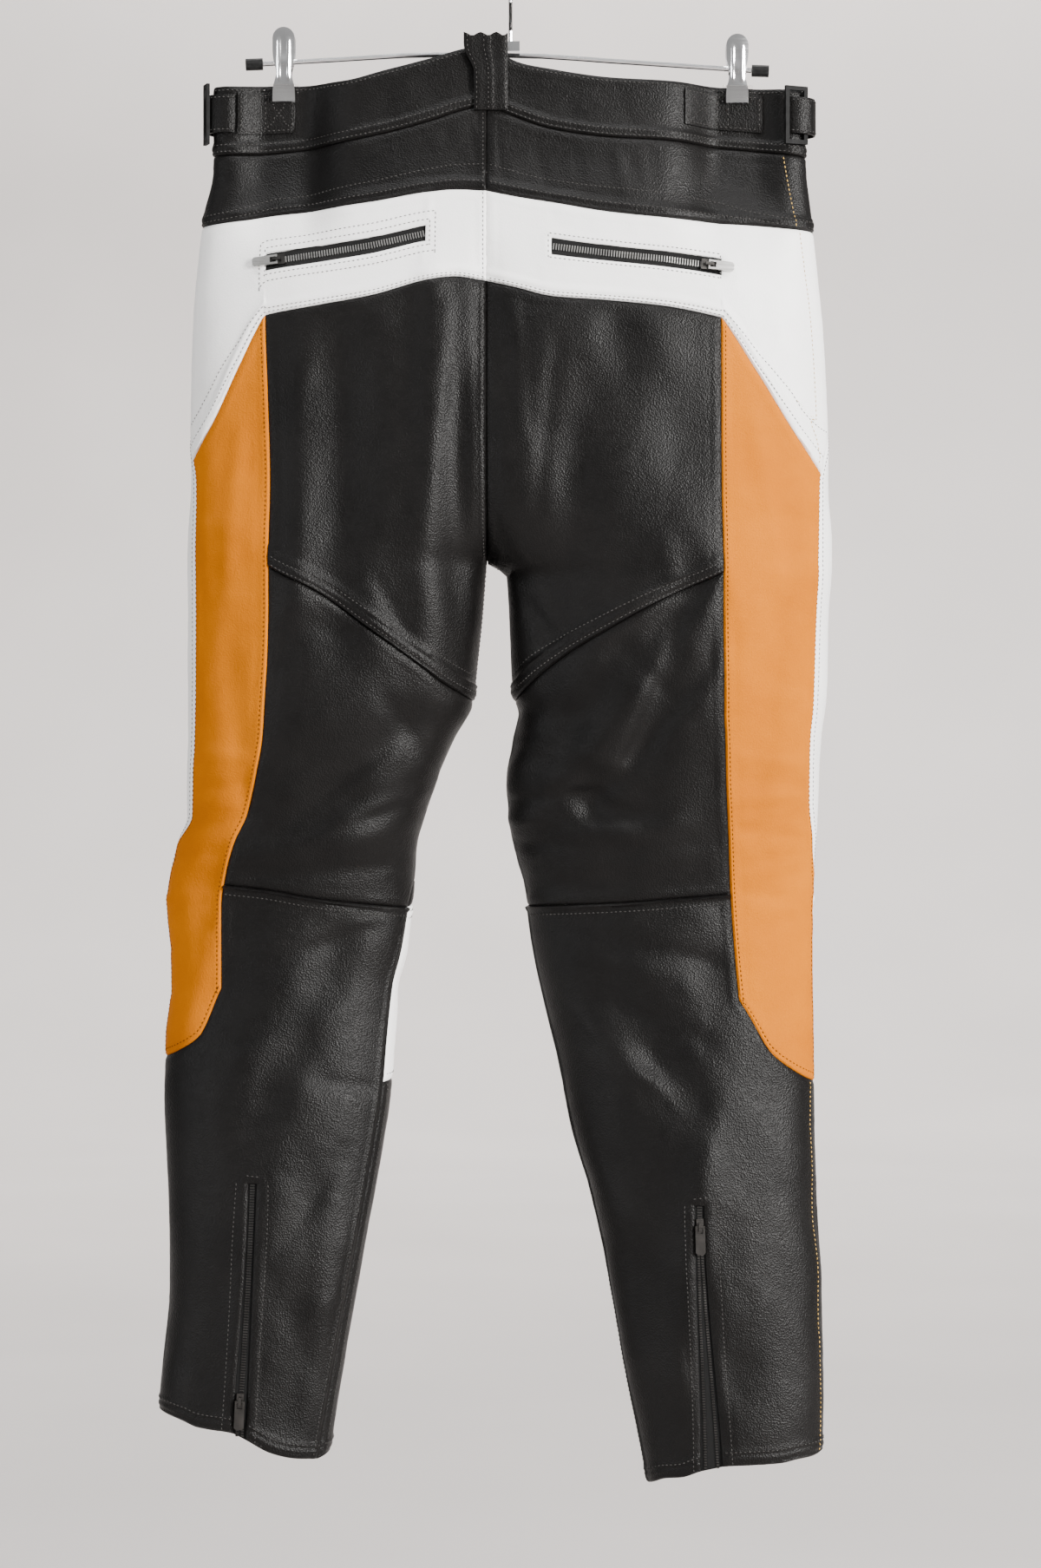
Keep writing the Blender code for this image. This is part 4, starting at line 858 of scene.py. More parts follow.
def at_run(place, run, values):
    """The value of a path at a distance along it."""
    return np.array([np.interp(place, run, values[:, k]) for k in range(3)])


def spread(side, start, end, other, along, step, fine_start=True, fine_end=True):
    """Rows or columns from start to end: close together by a seam, and an even step between."""
    dense = np.linspace(start, end, PATH_SAMPLES)
    if along == "rows":
        path = sheet_points(side, dense, np.full_like(dense, other))
    else:
        path = sheet_points(side, np.full_like(dense, other), dense)
    run = path_run(path)
    length = run[-1]
    near = [d for d in EDGE_STEPS if d < length * EDGE_SHARE]
    places = {0.0, length}
    low, high = 0.0, length
    if fine_start:
        places |= set(near)
        low = near[-1]
    if fine_end:
        places |= {length - d for d in near}
        high = length - near[-1]
    count = max(int(round((high - low) / step)), 1)
    places |= {low + (high - low) * k / count for k in range(count + 1)}
    merged = []
    for place in sorted(places):
        if not merged or place - merged[-1] > LEAST_STEP:
            merged.append(place)
    merged[-1] = length
    return np.interp(merged, run, dense)


def join_spreads(side, marks, other, along, step):
    """Rows or columns through several marks, each (place, whether a seam lies there)."""
    parts = []
    for (start, fine_start), (end, fine_end) in zip(marks, marks[1:]):
        part = spread(side, start, end, other, along, step, fine_start, fine_end)
        parts.append(part if not parts else part[1:])
    return np.concatenate(parts)


def edge_points(points, keep):
    """Points every fraction of a millimetre along the edge of the kept cells."""
    padded = np.pad(keep, 1)
    level = padded[:-1, 1:-1] != padded[1:, 1:-1]
    upright = padded[1:-1, :-1] != padded[1:-1, 1:]
    pieces = []
    for starts, ends, found in ((points[:, :-1], points[:, 1:], level), (points[:-1], points[1:], upright)):
        start, end = starts[found], ends[found]
        for share in np.linspace(0.0, 1.0, EDGE_PARTS, endpoint=False):
            pieces.append(start + (end - start) * share)
    return np.concatenate(pieces)


def seam_distances(points, edge):
    """Distance in millimetres from every point to the nearest point of the panel's edge."""
    tree = kdtree.KDTree(len(edge))
    for index, place in enumerate(edge):
        tree.insert(place, index)
    tree.balance()
    flat = points.reshape(-1, 3)
    found = np.array([tree.find(place)[2] for place in flat])
    return found.reshape(points.shape[:-1])


def laps_lift(name, side, rows, columns, points):
    """The proud edges of a panel, where its leather is folded under along a seam."""
    total = np.zeros(points.shape[:2])
    down, across = np.gradient(points, axis=0), np.gradient(points, axis=1)
    long_down, long_across = np.linalg.norm(down, axis=-1), np.linalg.norm(across, axis=-1)
    sine = np.linalg.norm(np.cross(down, across), axis=-1) / np.maximum(long_down * long_across, 1e-6)
    for lap in LAP_ROWS:
        if lap["panel"] != name or side not in lap["sides"]:
            continue
        axis = 0 if lap["line"] else 1
        steps = np.linalg.norm(np.diff(points, axis=axis), axis=-1)
        run = np.cumsum(steps, axis=axis)
        run = np.concatenate([np.zeros_like(np.take(run, [0], axis=axis)), run], axis=axis)
        places, line = (rows, LINE_ROW[lap["line"]]) if lap["line"] else (columns, lap["column"])
        start = int(np.argmin(np.abs(places - line)))
        distance = np.abs(run - np.take(run, [start], axis=axis)) * sine
        width = lap["width"]
        fold = smooth_step(0.0, LAP_RISE, distance) * (1.0 - smooth_step(width - LAP_FALL, width, distance))
        sewn = sum(np.exp(-((distance - place) / SEWN_WIDTH) ** 2) for place in LAP_SEWN)
        sunk = SEWN_DEPTH * sewn if width > NARROW_LAP else 0.0
        total += fold * (lap["height"] - sunk)
    return total


def panel_lift(points, distance, back, layers, seed):
    """How far a panel's surface stands off the plain sheet."""
    inside = 1.0 - np.exp(-(distance / WRINKLE_START) ** 2)
    creases = fold_height(CREASE_ROWS, back, points[..., 0], points[..., 2], CREASE_FADE)
    pucker = wrinkles(points, (PUCKER,), PUCKER_SEED) * np.exp(-distance / PUCKER_REACH)
    settle = smooth_step(0.0, PUCKER_START, distance)
    return seam_profile(distance) + inside * (wrinkles(points, layers, seed) + creases) + pucker * settle


def keep_mesh(name, points, faces, colour_material):
    """A mesh object from points in millimetres."""
    mesh = bpy.data.meshes.new(name)
    mesh.from_pydata((np.asarray(points) * MM).tolist(), [], faces)
    mesh.materials.append(colour_material)
    mesh.shade_smooth()
    made = bpy.data.objects.new(name, mesh)
    bpy.context.scene.collection.objects.link(made)
    return made


def closed_shell(name, outer, inner, quads, colour_material):
    """Close two layers of quads with a rim, and turn all the faces out."""
    count = len(outer)
    edges = set()
    for quad in quads:
        for a, b in zip(quad, quad[1:] + quad[:1]):
            edges.add((a, b))
    rim = [(b, a, a + count, b + count) for a, b in edges if (b, a) not in edges]
    faces = quads + [tuple(index + count for index in reversed(quad)) for quad in quads] + sorted(rim)
    made = keep_mesh(name, np.concatenate([outer, inner]), faces, colour_material)
    work = bmesh.new()
    work.from_mesh(made.data)
    if work.calc_volume(signed=True) < 0.0:
        bmesh.ops.reverse_faces(work, faces=work.faces)
        work.to_mesh(made.data)
    work.free()
    made.data.set_sharp_from_angle(angle=SHARP)
    return made


def grid_quads(rows, columns, keep=None):
    """Quads of a grid of points, for the kept cells."""
    quads = []
    for r in range(rows - 1):
        for c in range(columns - 1):
            if keep is None or keep[r, c]:
                a = r * columns + c
                quads.append((a, a + 1, a + 1 + columns, a + columns))
    return quads


def used_only(points_sets, quads):
    """Drop the points that no quad uses."""
    used = sorted({index for quad in quads for index in quad})
    renumber = {old: new for new, old in enumerate(used)}
    return [points[used] for points in points_sets], [tuple(renumber[i] for i in quad) for quad in quads]


def panel_marks(name, top, bottom, first, last):
    """The rows and columns that a panel's grid has to pass through, and those where a seam lies."""
    rows = [(top, True), (bottom, True)]
    columns = [(first, True), (last, True)]
    if first < TRIM_COLUMN < last:
        columns.insert(1, (TRIM_COLUMN, name in ("hip_band", "calf_back")))
    if name == "hip_band":
        rows[1:1] = [(POCKET_ROW, True), (POCKET_ROW + 1, True)]
        columns[1:1] = [(POCKET_COLUMN, True)]
    if name == "calf_back":
        rows[1:1] = [(LINE_ROW["trim"], False), (LINE_ROW["slit"], True)]
        columns[1:1] = [(ZIP_COLUMNS[0], True), (ZIP_COLUMNS[1], True)]
    return rows, columns


def panel_cells(name, rows, columns):
    """Which cells of a panel's grid hold leather."""
    r = (rows[:-1] + rows[1:])[:, None] / 2
    c = (columns[:-1] + columns[1:])[None, :] / 2
    keep = np.ones((len(rows) - 1, len(columns) - 1), bool)
    if name == "hip_band":
        keep &= ~((r > POCKET_ROW) & (r < POCKET_ROW + 1) & (c > POCKET_COLUMN) & (c < TRIM_COLUMN))
    if name == "calf_back":
        keep &= ~((r < LINE_ROW["trim"]) & (c > TRIM_COLUMN))
        keep &= ~((r > LINE_ROW["slit"]) & (c > ZIP_COLUMNS[0]) & (c < ZIP_COLUMNS[1]))
    return keep


def edge_mask(keep):
    """Grid points on the edge of the kept cells."""
    padded = np.pad(keep, 1)
    around = (padded[:-1, :-1].astype(int) + padded[1:, :-1] + padded[:-1, 1:] + padded[1:, 1:])
    return (around > 0) & (around < 4)


def inward_steps(points, keep):
    """Unit steps from each grid point towards the kept cells round it."""
    centre = (points[:-1, :-1] + points[1:, 1:]) / 2
    total = np.zeros_like(points)
    weight = np.zeros(points.shape[:2] + (1,))
    for dr, dc in ((0, 0), (1, 0), (0, 1), (1, 1)):
        target = (slice(dr, dr + keep.shape[0]), slice(dc, dc + keep.shape[1]))
        total[target] += np.where(keep[..., None], centre, 0.0)
        weight[target] += keep[..., None]
    return unit(total / np.maximum(weight, 1) - points)


def in_pocket_window(r, c):
    """Grid points on the edge of the pocket's window."""
    near = 0.01
    level = (r > POCKET_ROW - near) & (r < POCKET_ROW + 1 + near)
    return level & (c > POCKET_COLUMN - near) & (c < TRIM_COLUMN + near)


PANEL_SURFACES = {}


def build_panel(side, panel):
    """One cut panel, built again on its sheet with its seams, folds and creases."""
    name = panel["name"]
    node = name + "_" + SIDES[side]
    top, bottom = LINE_ROW[panel["top"]], LINE_ROW[panel["bottom"]]
    row_marks, column_marks = panel_marks(name, top, bottom, panel["first"], panel["last"])
    middle_row = (top + bottom) / 2
    middle_column = (panel["first"] + panel["last"]) / 2
    rows = join_spreads(side, row_marks, middle_column, "rows", PANEL_STEP)
    columns = join_spreads(side, column_marks, middle_row, "columns", PANEL_STEP)
    keep = panel_cells(name, rows, columns)
    r, c = np.meshgrid(rows, columns, indexing="ij")
    points = sheet_points(side, r, c)
    normals = sheet_normals(side, r, c)
    edge = edge_mask(keep)
    distance = seam_distances(points, edge_points(points, keep))
    lift = panel_lift(points, distance, c <= SIDE_COLUMN, WRINKLES[name], SEEDS[name] + side)
    lift += laps_lift(name, side, rows, columns, points)
    PANEL_SURFACES[(side, name)] = (rows, columns, lift)
    pull = np.where(edge, SEAM_HALF_GAP, 0.0)
    if name == "hip_band":
        pull = np.where(edge & in_pocket_window(r, c), WINDOW_TURN, pull)
    outer = points + inward_steps(points, keep) * pull[..., None] + normals * lift[..., None]
    inner = outer - normals * panel["wall"]
    quads = grid_quads(len(rows), len(columns), keep)
    (outer, inner), quads = used_only([outer.reshape(-1, 3), inner.reshape(-1, 3)], quads)
    made = closed_shell("cut_" + node, outer, inner, quads, MATERIAL[panel["colour"]])
    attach(made, "root")
    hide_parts(node)


def locate(side, x, z, back=True):
    """Row and column of the sheet at a place in the picture."""
    shares = column_shares(side, z)
    inner = OUTLINE[side]["inner"](z)
    share = (x - inner) / (OUTLINE[side]["outer"](z) - inner)
    low, high = np.zeros_like(x), np.full_like(x, SIDE_COLUMN)
    for _ in range(30):
        middle = (low + high) / 2
        over = curve(range(SIDE_COLUMN + 1), shares, middle) > share
        high, low = np.where(over, middle, high), np.where(over, low, middle)
    column = middle if back else COLUMNS - middle
    low, high = np.zeros_like(x), np.full_like(x, ROWS)
    for _ in range(30):
        middle_row = (low + high) / 2
        over = height(side, middle_row, column) < z
        high, low = np.where(over, middle_row, high), np.where(over, low, middle_row)
    return middle_row, column


def picture_points(x, z, back=True):
    """Points and normals of the sheet at places in the picture, on either side of the centre seam."""
    x, z = np.broadcast_arrays(np.asarray(x, float), np.asarray(z, float))
    points, normals = np.zeros(x.shape + (3,)), np.zeros(x.shape + (3,))
    for side in SIDES:
        own = (x < CENTRE_X) if side == LEFT else (x >= CENTRE_X)
        if own.any():
            row, column = locate(side, x[own], z[own], back)
            points[own] = sheet_points(side, row, column)
            normals[own] = sheet_normals(side, row, column)
    return points, normals


def laid_strip(name, inner, normals, wall, finish, node, bulge):
    """A strip of leather or tape over the sheet: rounded at its edges, and as thick as wall."""
    rows, columns = inner.shape[:2]
    r = np.minimum(np.arange(rows), np.arange(rows)[::-1])[:, None]
    c = np.minimum(np.arange(columns), np.arange(columns)[::-1])[None, :]
    inset = np.minimum(r, c)
    rounding = np.where(inset == 0, -EDGE_ROUNDING * wall, 0.0) + np.where(inset > 1, bulge, 0.0)
    outer = inner + normals * (wall + rounding)[..., None]
    quads = grid_quads(rows, columns)
    made = closed_shell(name, outer.reshape(-1, 3), inner.reshape(-1, 3), quads, MATERIAL[finish])
    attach(made, "root")
    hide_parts(node)


class Stitches:
    """Collects stitches and makes one mesh of each colour for each side."""

    def __init__(self):
        self.places = {}

    def along(self, key, path, normals):
        """A row of stitches along a path of points, on a surface with these normals."""
        run = path_run(path)
        count = int(run[-1] / STITCH_PITCH)
        if count < 1:
            return
        half = STITCH_LENGTH / 2
        for middle in (np.arange(count) + 0.5) * run[-1] / count:
            places = (middle - half, middle, middle + half)
            start, centre, end = (at_run(place, run, path) for place in places)
            out = unit(at_run(middle, run, normals))
            across = unit(np.cross(end - start, out)) * STITCH_WIDTH / 2
            sink = out * STITCH_END_SINK
            crown = centre + out * STITCH_WIDTH * STITCH_CROWN
            foot = centre - out * STITCH_SINK
            self.places.setdefault(key, []).append(
                (start - sink, end - sink, centre + across, centre - across, crown, foot))

    def build(self):
        """Make the meshes: each stitch has two ends, two sides, a crown and a foot."""
        for (word, colour), stitches in self.places.items():
            points = np.array(stitches).reshape(-1, 3)
            faces = []
            for index in range(len(stitches)):
                a, b, c, d, e, f = (index * 6 + k for k in range(6))
                faces += [(a, c, e), (c, b, e), (b, d, e), (d, a, e)]
                faces += [(c, a, f), (b, c, f), (d, b, f), (a, d, f)]
            made = keep_mesh("stitches_%s_%s" % (colour, word), points, faces, MATERIAL["thread_" + colour])
            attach(made, "root")


STITCHES = Stitches()


def lift_at(side, panel, row, column):
    """How far a panel's surface stands off the sheet at any row and column."""
    rows, columns, lift = PANEL_SURFACES[(side, panel)]
    i = np.clip(np.searchsorted(rows, row) - 1, 0, len(rows) - 2)
    j = np.clip(np.searchsorted(columns, column) - 1, 0, len(columns) - 2)
    u = (row - rows[i]) / (rows[i + 1] - rows[i])
    v = (column - columns[j]) / (columns[j + 1] - columns[j])
    top = lift[i, j] * (1 - v) + lift[i, j + 1] * v
    bottom = lift[i + 1, j] * (1 - v) + lift[i + 1, j + 1] * v
    return top * (1 - u) + bottom * u


def seam_path(side, panel, rows, columns, row_shift, column_shift):
    """A path on a panel, moved by so many millimetres down the sheet or along its columns."""
    rows, columns = np.broadcast_arrays(np.asarray(rows, float), np.asarray(columns, float))
    small = 0.02
    base = sheet_points(side, rows, columns)
    down = (sheet_points(side, rows + small, columns) - base) / small
    ahead = np.where(columns + small > COLUMNS, -small, small)
    across = (sheet_points(side, rows, columns + ahead) - base) / ahead[..., None]
    area = np.linalg.norm(np.cross(down, across), axis=-1)
    r = rows + row_shift * np.linalg.norm(across, axis=-1) / area
    c = columns + column_shift * np.linalg.norm(down, axis=-1) / area
    points = sheet_points(side, r, c)
    normals = sheet_normals(side, r, c)
    lift = lift_at(side, panel, r, c) + THREAD_RISE
    return points + normals * lift[..., None], normals


def sew(side, panel, colour, rows, columns, row_shift, column_shift):
    """A row of stitches along a path on a panel."""
    path, normals = seam_path(side, panel, rows, columns, row_shift, column_shift)
    STITCHES.along((SIDES[side], colour), path, normals)


def sew_panels():
    """Every row of stitches beside a seam."""
    for item in rows_of(LEVEL_FIELDS, LEVEL_STITCHES):
        for side in item["sides"]:
            columns = np.linspace(item["first"] + 0.06, item["last"] - 0.06, 120)
            for offset in item["offsets"]:
                sew(side, item["panel"], item["colour"], LINE_ROW[item["line"]], columns, offset, 0.0)
    for item in rows_of(UPRIGHT_FIELDS, UPRIGHT_STITCHES):
        for side in item["sides"]:
            rows = np.linspace(LINE_ROW[item["top"]] + 0.05, LINE_ROW[item["bottom"]] - 0.05, 200)
            for offset in item["offsets"]:
                sew(side, item["panel"], item["colour"], rows, item["column"], 0.0, offset)


def sew_round(side, panel, colour, rows, columns, offset):
    """A box of stitches round a window, at a distance outside it."""
    steps = np.linspace(0.0, 1.0, 80)
    shift = offset * (2.0 * steps - 1.0)
    across = columns[0] + (columns[1] - columns[0]) * steps
    down = rows[0] + (rows[1] - rows[0]) * steps
    sew(side, panel, colour, rows[0], across, -offset, shift)
    sew(side, panel, colour, rows[1], across, offset, shift)
    sew(side, panel, colour, down, columns[0], shift, -offset)
    sew(side, panel, colour, down, columns[1], shift, offset)


def node_material(name):
    """A new material and its nodes, with the surface shader in place."""
    made = bpy.data.materials.new(name)
    made.use_nodes = True
    nodes, links = made.node_tree.nodes, made.node_tree.links
    return made, nodes, links, nodes["Principled BSDF"]


def object_texture(nodes, links, kind, scale, stretch=(1.0, 1.0, 1.0), **values):
    """A texture in the object's own metres."""
    place = nodes.new("ShaderNodeTexCoord")
    mapping = nodes.new("ShaderNodeMapping")
    mapping.inputs["Scale"].default_value = stretch
    texture = nodes.new(kind)
    texture.inputs["Scale"].default_value = scale
    for key, value in values.items():
        texture.inputs[key].default_value = value
    links.new(place.outputs["Object"], mapping.inputs["Vector"])
    links.new(mapping.outputs["Vector"], texture.inputs["Vector"])
    return texture


def ramp(nodes, links, value, low, high, at=(0.3, 0.7)):
    """Turn a value into a colour between low and high."""
    made = nodes.new("ShaderNodeValToRGB")
    made.color_ramp.elements[0].position = at[0]
    made.color_ramp.elements[0].color = (*low, 1.0)
    made.color_ramp.elements[1].position = at[1]
    made.color_ramp.elements[1].color = (*high, 1.0)
    links.new(value, made.inputs["Fac"])
    return made.outputs["Color"]


def span(nodes, links, value, low, high):
    """Map a value between 0 and 1 to a number between low and high."""
    made = nodes.new("ShaderNodeMapRange")
    made.inputs["To Min"].default_value = low
    made.inputs["To Max"].default_value = high
    links.new(value, made.inputs["Value"])
    return made.outputs["Result"]


def bump(nodes, links, value, distance, strength, below=None):
    """Relief from a value, over the relief below it."""
    made = nodes.new("ShaderNodeBump")
    made.inputs["Distance"].default_value = distance
    made.inputs["Strength"].default_value = strength
    links.new(value, made.inputs["Height"])
    if below is not None:
        links.new(below, made.inputs["Normal"])
    return made.outputs["Normal"]


def leather(name, deep, light, rough, grain, specular=0.5):
    """Grained leather: pebbles, pores and a slow change of shade and gloss."""
    made, nodes, links, shader = node_material(name)
    pebbles = object_texture(nodes, links, "ShaderNodeTexVoronoi", 780.0)
    pores = object_texture(nodes, links, "ShaderNodeTexNoise", 900.0, Detail=3.0)
    crumple = object_texture(nodes, links, "ShaderNodeTexNoise", 85.0, Detail=4.0, Distortion=0.6)
    shade = object_texture(nodes, links, "ShaderNodeTexNoise", 14.0, Detail=5.0, Roughness=0.6)
    links.new(ramp(nodes, links, shade.outputs["Fac"], deep, light), shader.inputs["Base Color"])
    gloss = span(nodes, links, crumple.outputs["Fac"], rough - 0.09, rough + 0.11)
    links.new(gloss, shader.inputs["Roughness"])
    first = bump(nodes, links, crumple.outputs["Fac"], 0.0010, 0.15)
    second = bump(nodes, links, pebbles.outputs["Distance"], 0.0007, grain, first)
    third = bump(nodes, links, pores.outputs["Fac"], 0.0004, grain, second)
    links.new(third, shader.inputs["Normal"])
    shader.inputs["Specular IOR Level"].default_value = specular
    return made


def fibre(name, deep, light, scale):
    """Thread or woven tape."""
    made, nodes, links, shader = node_material(name)
    weave = object_texture(nodes, links, "ShaderNodeTexWave", scale, Distortion=1.5, Detail=2.0)
    links.new(ramp(nodes, links, weave.outputs["Fac"], deep, light), shader.inputs["Base Color"])
    links.new(bump(nodes, links, weave.outputs["Fac"], 0.0004, 0.5), shader.inputs["Normal"])
    shader.inputs["Roughness"].default_value = 0.75
    shader.inputs["Specular IOR Level"].default_value = 0.2
    return made


def metal(name, deep, light, rough):
    """Plated metal with faint smears and scratches."""
    made, nodes, links, shader = node_material(name)
    smear = object_texture(nodes, links, "ShaderNodeTexNoise", 60.0, Detail=5.0)
    scratch = object_texture(nodes, links, "ShaderNodeTexNoise", 40.0, (1.0, 1.0, 30.0), Detail=4.0)
    links.new(ramp(nodes, links, smear.outputs["Fac"], deep, light), shader.inputs["Base Color"])
    gloss = span(nodes, links, scratch.outputs["Fac"], rough * 0.6, rough * 1.6)
    links.new(gloss, shader.inputs["Roughness"])
    links.new(bump(nodes, links, scratch.outputs["Fac"], 0.0001, 0.3), shader.inputs["Normal"])
    shader.inputs["Metallic"].default_value = 1.0
    return made


def moulded(name, deep, light, rough):
    """Moulded plastic or rubber."""
    made, nodes, links, shader = node_material(name)
    speckle = object_texture(nodes, links, "ShaderNodeTexNoise", 240.0, Detail=3.0)
    links.new(ramp(nodes, links, speckle.outputs["Fac"], deep, light), shader.inputs["Base Color"])
    gloss = span(nodes, links, speckle.outputs["Fac"], rough - 0.06, rough + 0.08)
    links.new(gloss, shader.inputs["Roughness"])
    links.new(bump(nodes, links, speckle.outputs["Fac"], 0.0003, 0.3), shader.inputs["Normal"])
    shader.inputs["Specular IOR Level"].default_value = 0.06
    return made


def clear_plastic(name):
    """Clear plastic, faintly cloudy."""
    made, nodes, links, shader = node_material(name)
    cloud = object_texture(nodes, links, "ShaderNodeTexNoise", 150.0, Detail=2.0)
    links.new(span(nodes, links, cloud.outputs["Fac"], 0.02, 0.10), shader.inputs["Roughness"])
    shader.inputs["Base Color"].default_value = (0.97, 0.96, 0.95, 1.0)
    shader.inputs["Transmission Weight"].default_value = 1.0
    shader.inputs["IOR"].default_value = 1.1
    return made


def plaster(name, deep, light):
    """The matt wall of the studio."""
    made, nodes, links, shader = node_material(name)
    cloud = object_texture(nodes, links, "ShaderNodeTexNoise", 1.5, Detail=3.0)
    links.new(ramp(nodes, links, cloud.outputs["Fac"], deep, light), shader.inputs["Base Color"])
    shader.inputs["Roughness"].default_value = 0.85
    return made


MATERIAL = {
    "black": leather("black_leather", (0.0026, 0.0023, 0.0022), (0.0056, 0.0051, 0.0049),
                     0.40, 0.45, 0.145),
    "white": leather("white_leather", (0.90, 0.89, 0.875), (0.95, 0.945, 0.935), 0.45, 0.14),
    "orange": leather("orange_leather", (0.43, 0.118, 0.0), (0.52, 0.150, 0.0), 0.48, 0.34, 0.01),
    # Painted highlight: the black thread is much paler than the black leather, so the raised stitches read
    # as lit dashes.
    "thread_black": fibre("black_thread_painted_highlight", (0.030, 0.028, 0.027), (0.075, 0.072, 0.069), 700.0),
    # Painted shade: the white thread is coloured dark grey, standing in for the shadow in and round the
    # stitches on the white leather.
    "thread_white": fibre("white_thread_painted_shade", (0.12, 0.117, 0.113), (0.20, 0.195, 0.19), 700.0),
    # Painted shade: the orange thread is coloured dark brown, standing in for the shadow in and round the
    # stitches on the orange leather.
    "thread_orange": fibre("orange_thread_painted_shade", (0.07, 0.014, 0.0), (0.13, 0.027, 0.0), 700.0),
    "thread_gold": fibre("gold_thread", (0.50, 0.30, 0.07), (0.72, 0.48, 0.16), 700.0),
    "zip_tape": fibre("zip_tape", (0.0025, 0.0025, 0.0025), (0.008, 0.008, 0.008), 900.0),
    "teeth_dark": metal("dark_zip_teeth", (0.05, 0.048, 0.046), (0.10, 0.097, 0.094), 0.34),
    "teeth_light": metal("pale_zip_teeth", (0.40, 0.39, 0.38), (0.60, 0.59, 0.57), 0.30),
    "dark_metal": metal("dark_zip_metal", (0.05, 0.048, 0.046), (0.11, 0.105, 0.10), 0.30),
    "light_metal": metal("light_zip_metal", (0.58, 0.57, 0.55), (0.76, 0.75, 0.73), 0.26),
    "chrome": metal("hanger_chrome", (0.84, 0.84, 0.85), (0.95, 0.95, 0.96), 0.17),
    "stud": metal("stud_metal", (0.50, 0.49, 0.47), (0.68, 0.67, 0.65), 0.28),
    "plastic": moulded("ring_plastic", (0.005, 0.005, 0.005), (0.014, 0.014, 0.014), 0.55),
    "rubber": moulded("cap_rubber", (0.007, 0.007, 0.007), (0.018, 0.018, 0.018), 0.5),
    "clear": clear_plastic("clear_cover"),
    "wall": plaster("pale_wall", (0.46, 0.432, 0.42), (0.50, 0.47, 0.457)),
}


def fine_patch(side, rows, columns):
    """Columns of a small piece laid on the waistband, and its sheet points and normals."""
    middle_row, middle_column = sum(rows) / 2, sum(columns) / 2
    across = spread(side, columns[0], columns[1], middle_row, "columns", FINE_STEP, False, False)
    down = spread(side, rows[0], rows[1], middle_column, "rows", FINE_STEP, False, False)
    r, c = np.meshgrid(down, across, indexing="ij")
    return c, sheet_points(side, r, c), sheet_normals(side, r, c)


def sew_box(key, points, normals, inset):
    """A box of stitches inside the edge of a grid."""
    a, b = inset, -1 - inset
    lines = ((slice(a, b), a), (slice(a, b), b), (a, slice(a, b)), (b, slice(a, b)))
    for line in lines:
        STITCHES.along(key, points[line], normals[line])


def cross_stitch(key, top, normals, split):
    """A cross of stitches up to one column of a grid, and two rows beside it."""
    rows = np.linspace(1, top.shape[0] - 2, 40)
    columns = np.round(np.linspace(1, split, 40)).astype(int)
    for order in (1, -1):
        i = np.round(rows[::order]).astype(int)
        STITCHES.along(key, top[i, columns], normals[i, columns])
    for column in (split, min(split + 4, top.shape[1] - 2)):
        STITCHES.along(key, top[1:-1, column], normals[1:-1, column])


def build_adjusters():
    """The patches and straps at the two ends of the waistband."""
    for side, word in SIDES.items():
        key = (word, "black")
        _, points, normals = fine_patch(side, ADJUSTER_ROWS, PATCH_COLUMNS[side])
        inner = points + normals * PATCH_LIFT
        laid_strip("patch_" + word, inner, normals, PATCH_WALL, "black", "adjuster_patch_" + word,
                   0.1)
        top = inner + normals * (PATCH_WALL + 0.15)
        sew_box(key, top, normals, 1)
        cross_stitch(key, top, normals, int(top.shape[1] * CROSS_SPLIT[side]))
        ends = (STRAP_COLUMNS[side][0], STRAP_COLUMNS[side][-1])
        c, points, normals = fine_patch(side, STRAP_ROWS, ends)
        lifts = curve(STRAP_COLUMNS[side], STRAP_LIFTS[side], c)
        inner = points + normals * lifts[..., None]
        laid_strip("strap_" + word, inner, normals, STRAP_WALL, "black", "adjuster_strap_" + word,
                   0.1)
        top = inner + normals * (STRAP_WALL + 0.12)
        for row in (1, -2):
            STITCHES.along(key, top[row], normals[row])


def build_belt_loop():
    """The belt loop, which flares at the top and is scalloped there."""
    drops = np.linspace(LOOP_DROPS[0], LOOP_DROPS[-1], 26)
    xs, falls = np.meshgrid(np.linspace(*LOOP_X, 15), drops, indexing="xy")
    start = np.zeros_like(xs)
    band_top = np.where(xs < CENTRE_X, height(LEFT, start, start), height(RIGHT, start, start)) - 2.0
    points, normals = picture_points(xs, np.minimum(-falls, band_top))
    share = (xs - LOOP_X[0]) / (LOOP_X[1] - LOOP_X[0])
    points[..., 0] -= LOOP_FLARE * (1.0 - share) ** 1.5 * smooth_step(80.0, 58.0, falls)
    scallop = 1.4 * np.cos((xs - LOOP_X[0]) * 2 * math.pi / LOOP_PITCH) * smooth_step(62.0, 50.0, falls)
    points[..., 2] = -falls + scallop
    middle = (LOOP_X[0] + LOOP_X[1]) / 2
    fold = 0.8 * np.exp(-((xs - middle) / 1.6) ** 2)
    stand = curve(LOOP_DROPS, LOOP_STANDS, falls) + fold
    inner = points + normals * stand[..., None]
    laid_strip("loop", inner, normals, LOOP_WALL, "black", "belt_loop", 0.15)
    top = inner + normals * (LOOP_WALL + 0.2)
    for column in (1, 6, 8, -2):
        STITCHES.along(("left", "black"), top[:, column], normals[:, column])


def build_placket():
    """The fly placket on the front."""
    x, z = np.meshgrid(np.linspace(*PLACKET_X, 14), np.linspace(*PLACKET_Z, 48))
    points, normals = picture_points(x, z, back=False)
    normals = unit(normals + np.array([0.0, PLACKET_LEAN, 0.0]))
    inner = points + normals * PLACKET_LIFT
    laid_strip("placket", inner, normals, PLACKET_WALL, "black", "fly_placket", 0.15)
    top = inner + normals * (PLACKET_WALL + 0.2)
    for column in (1, -2):
        STITCHES.along(("right", "black"), top[:, column], normals[:, column])


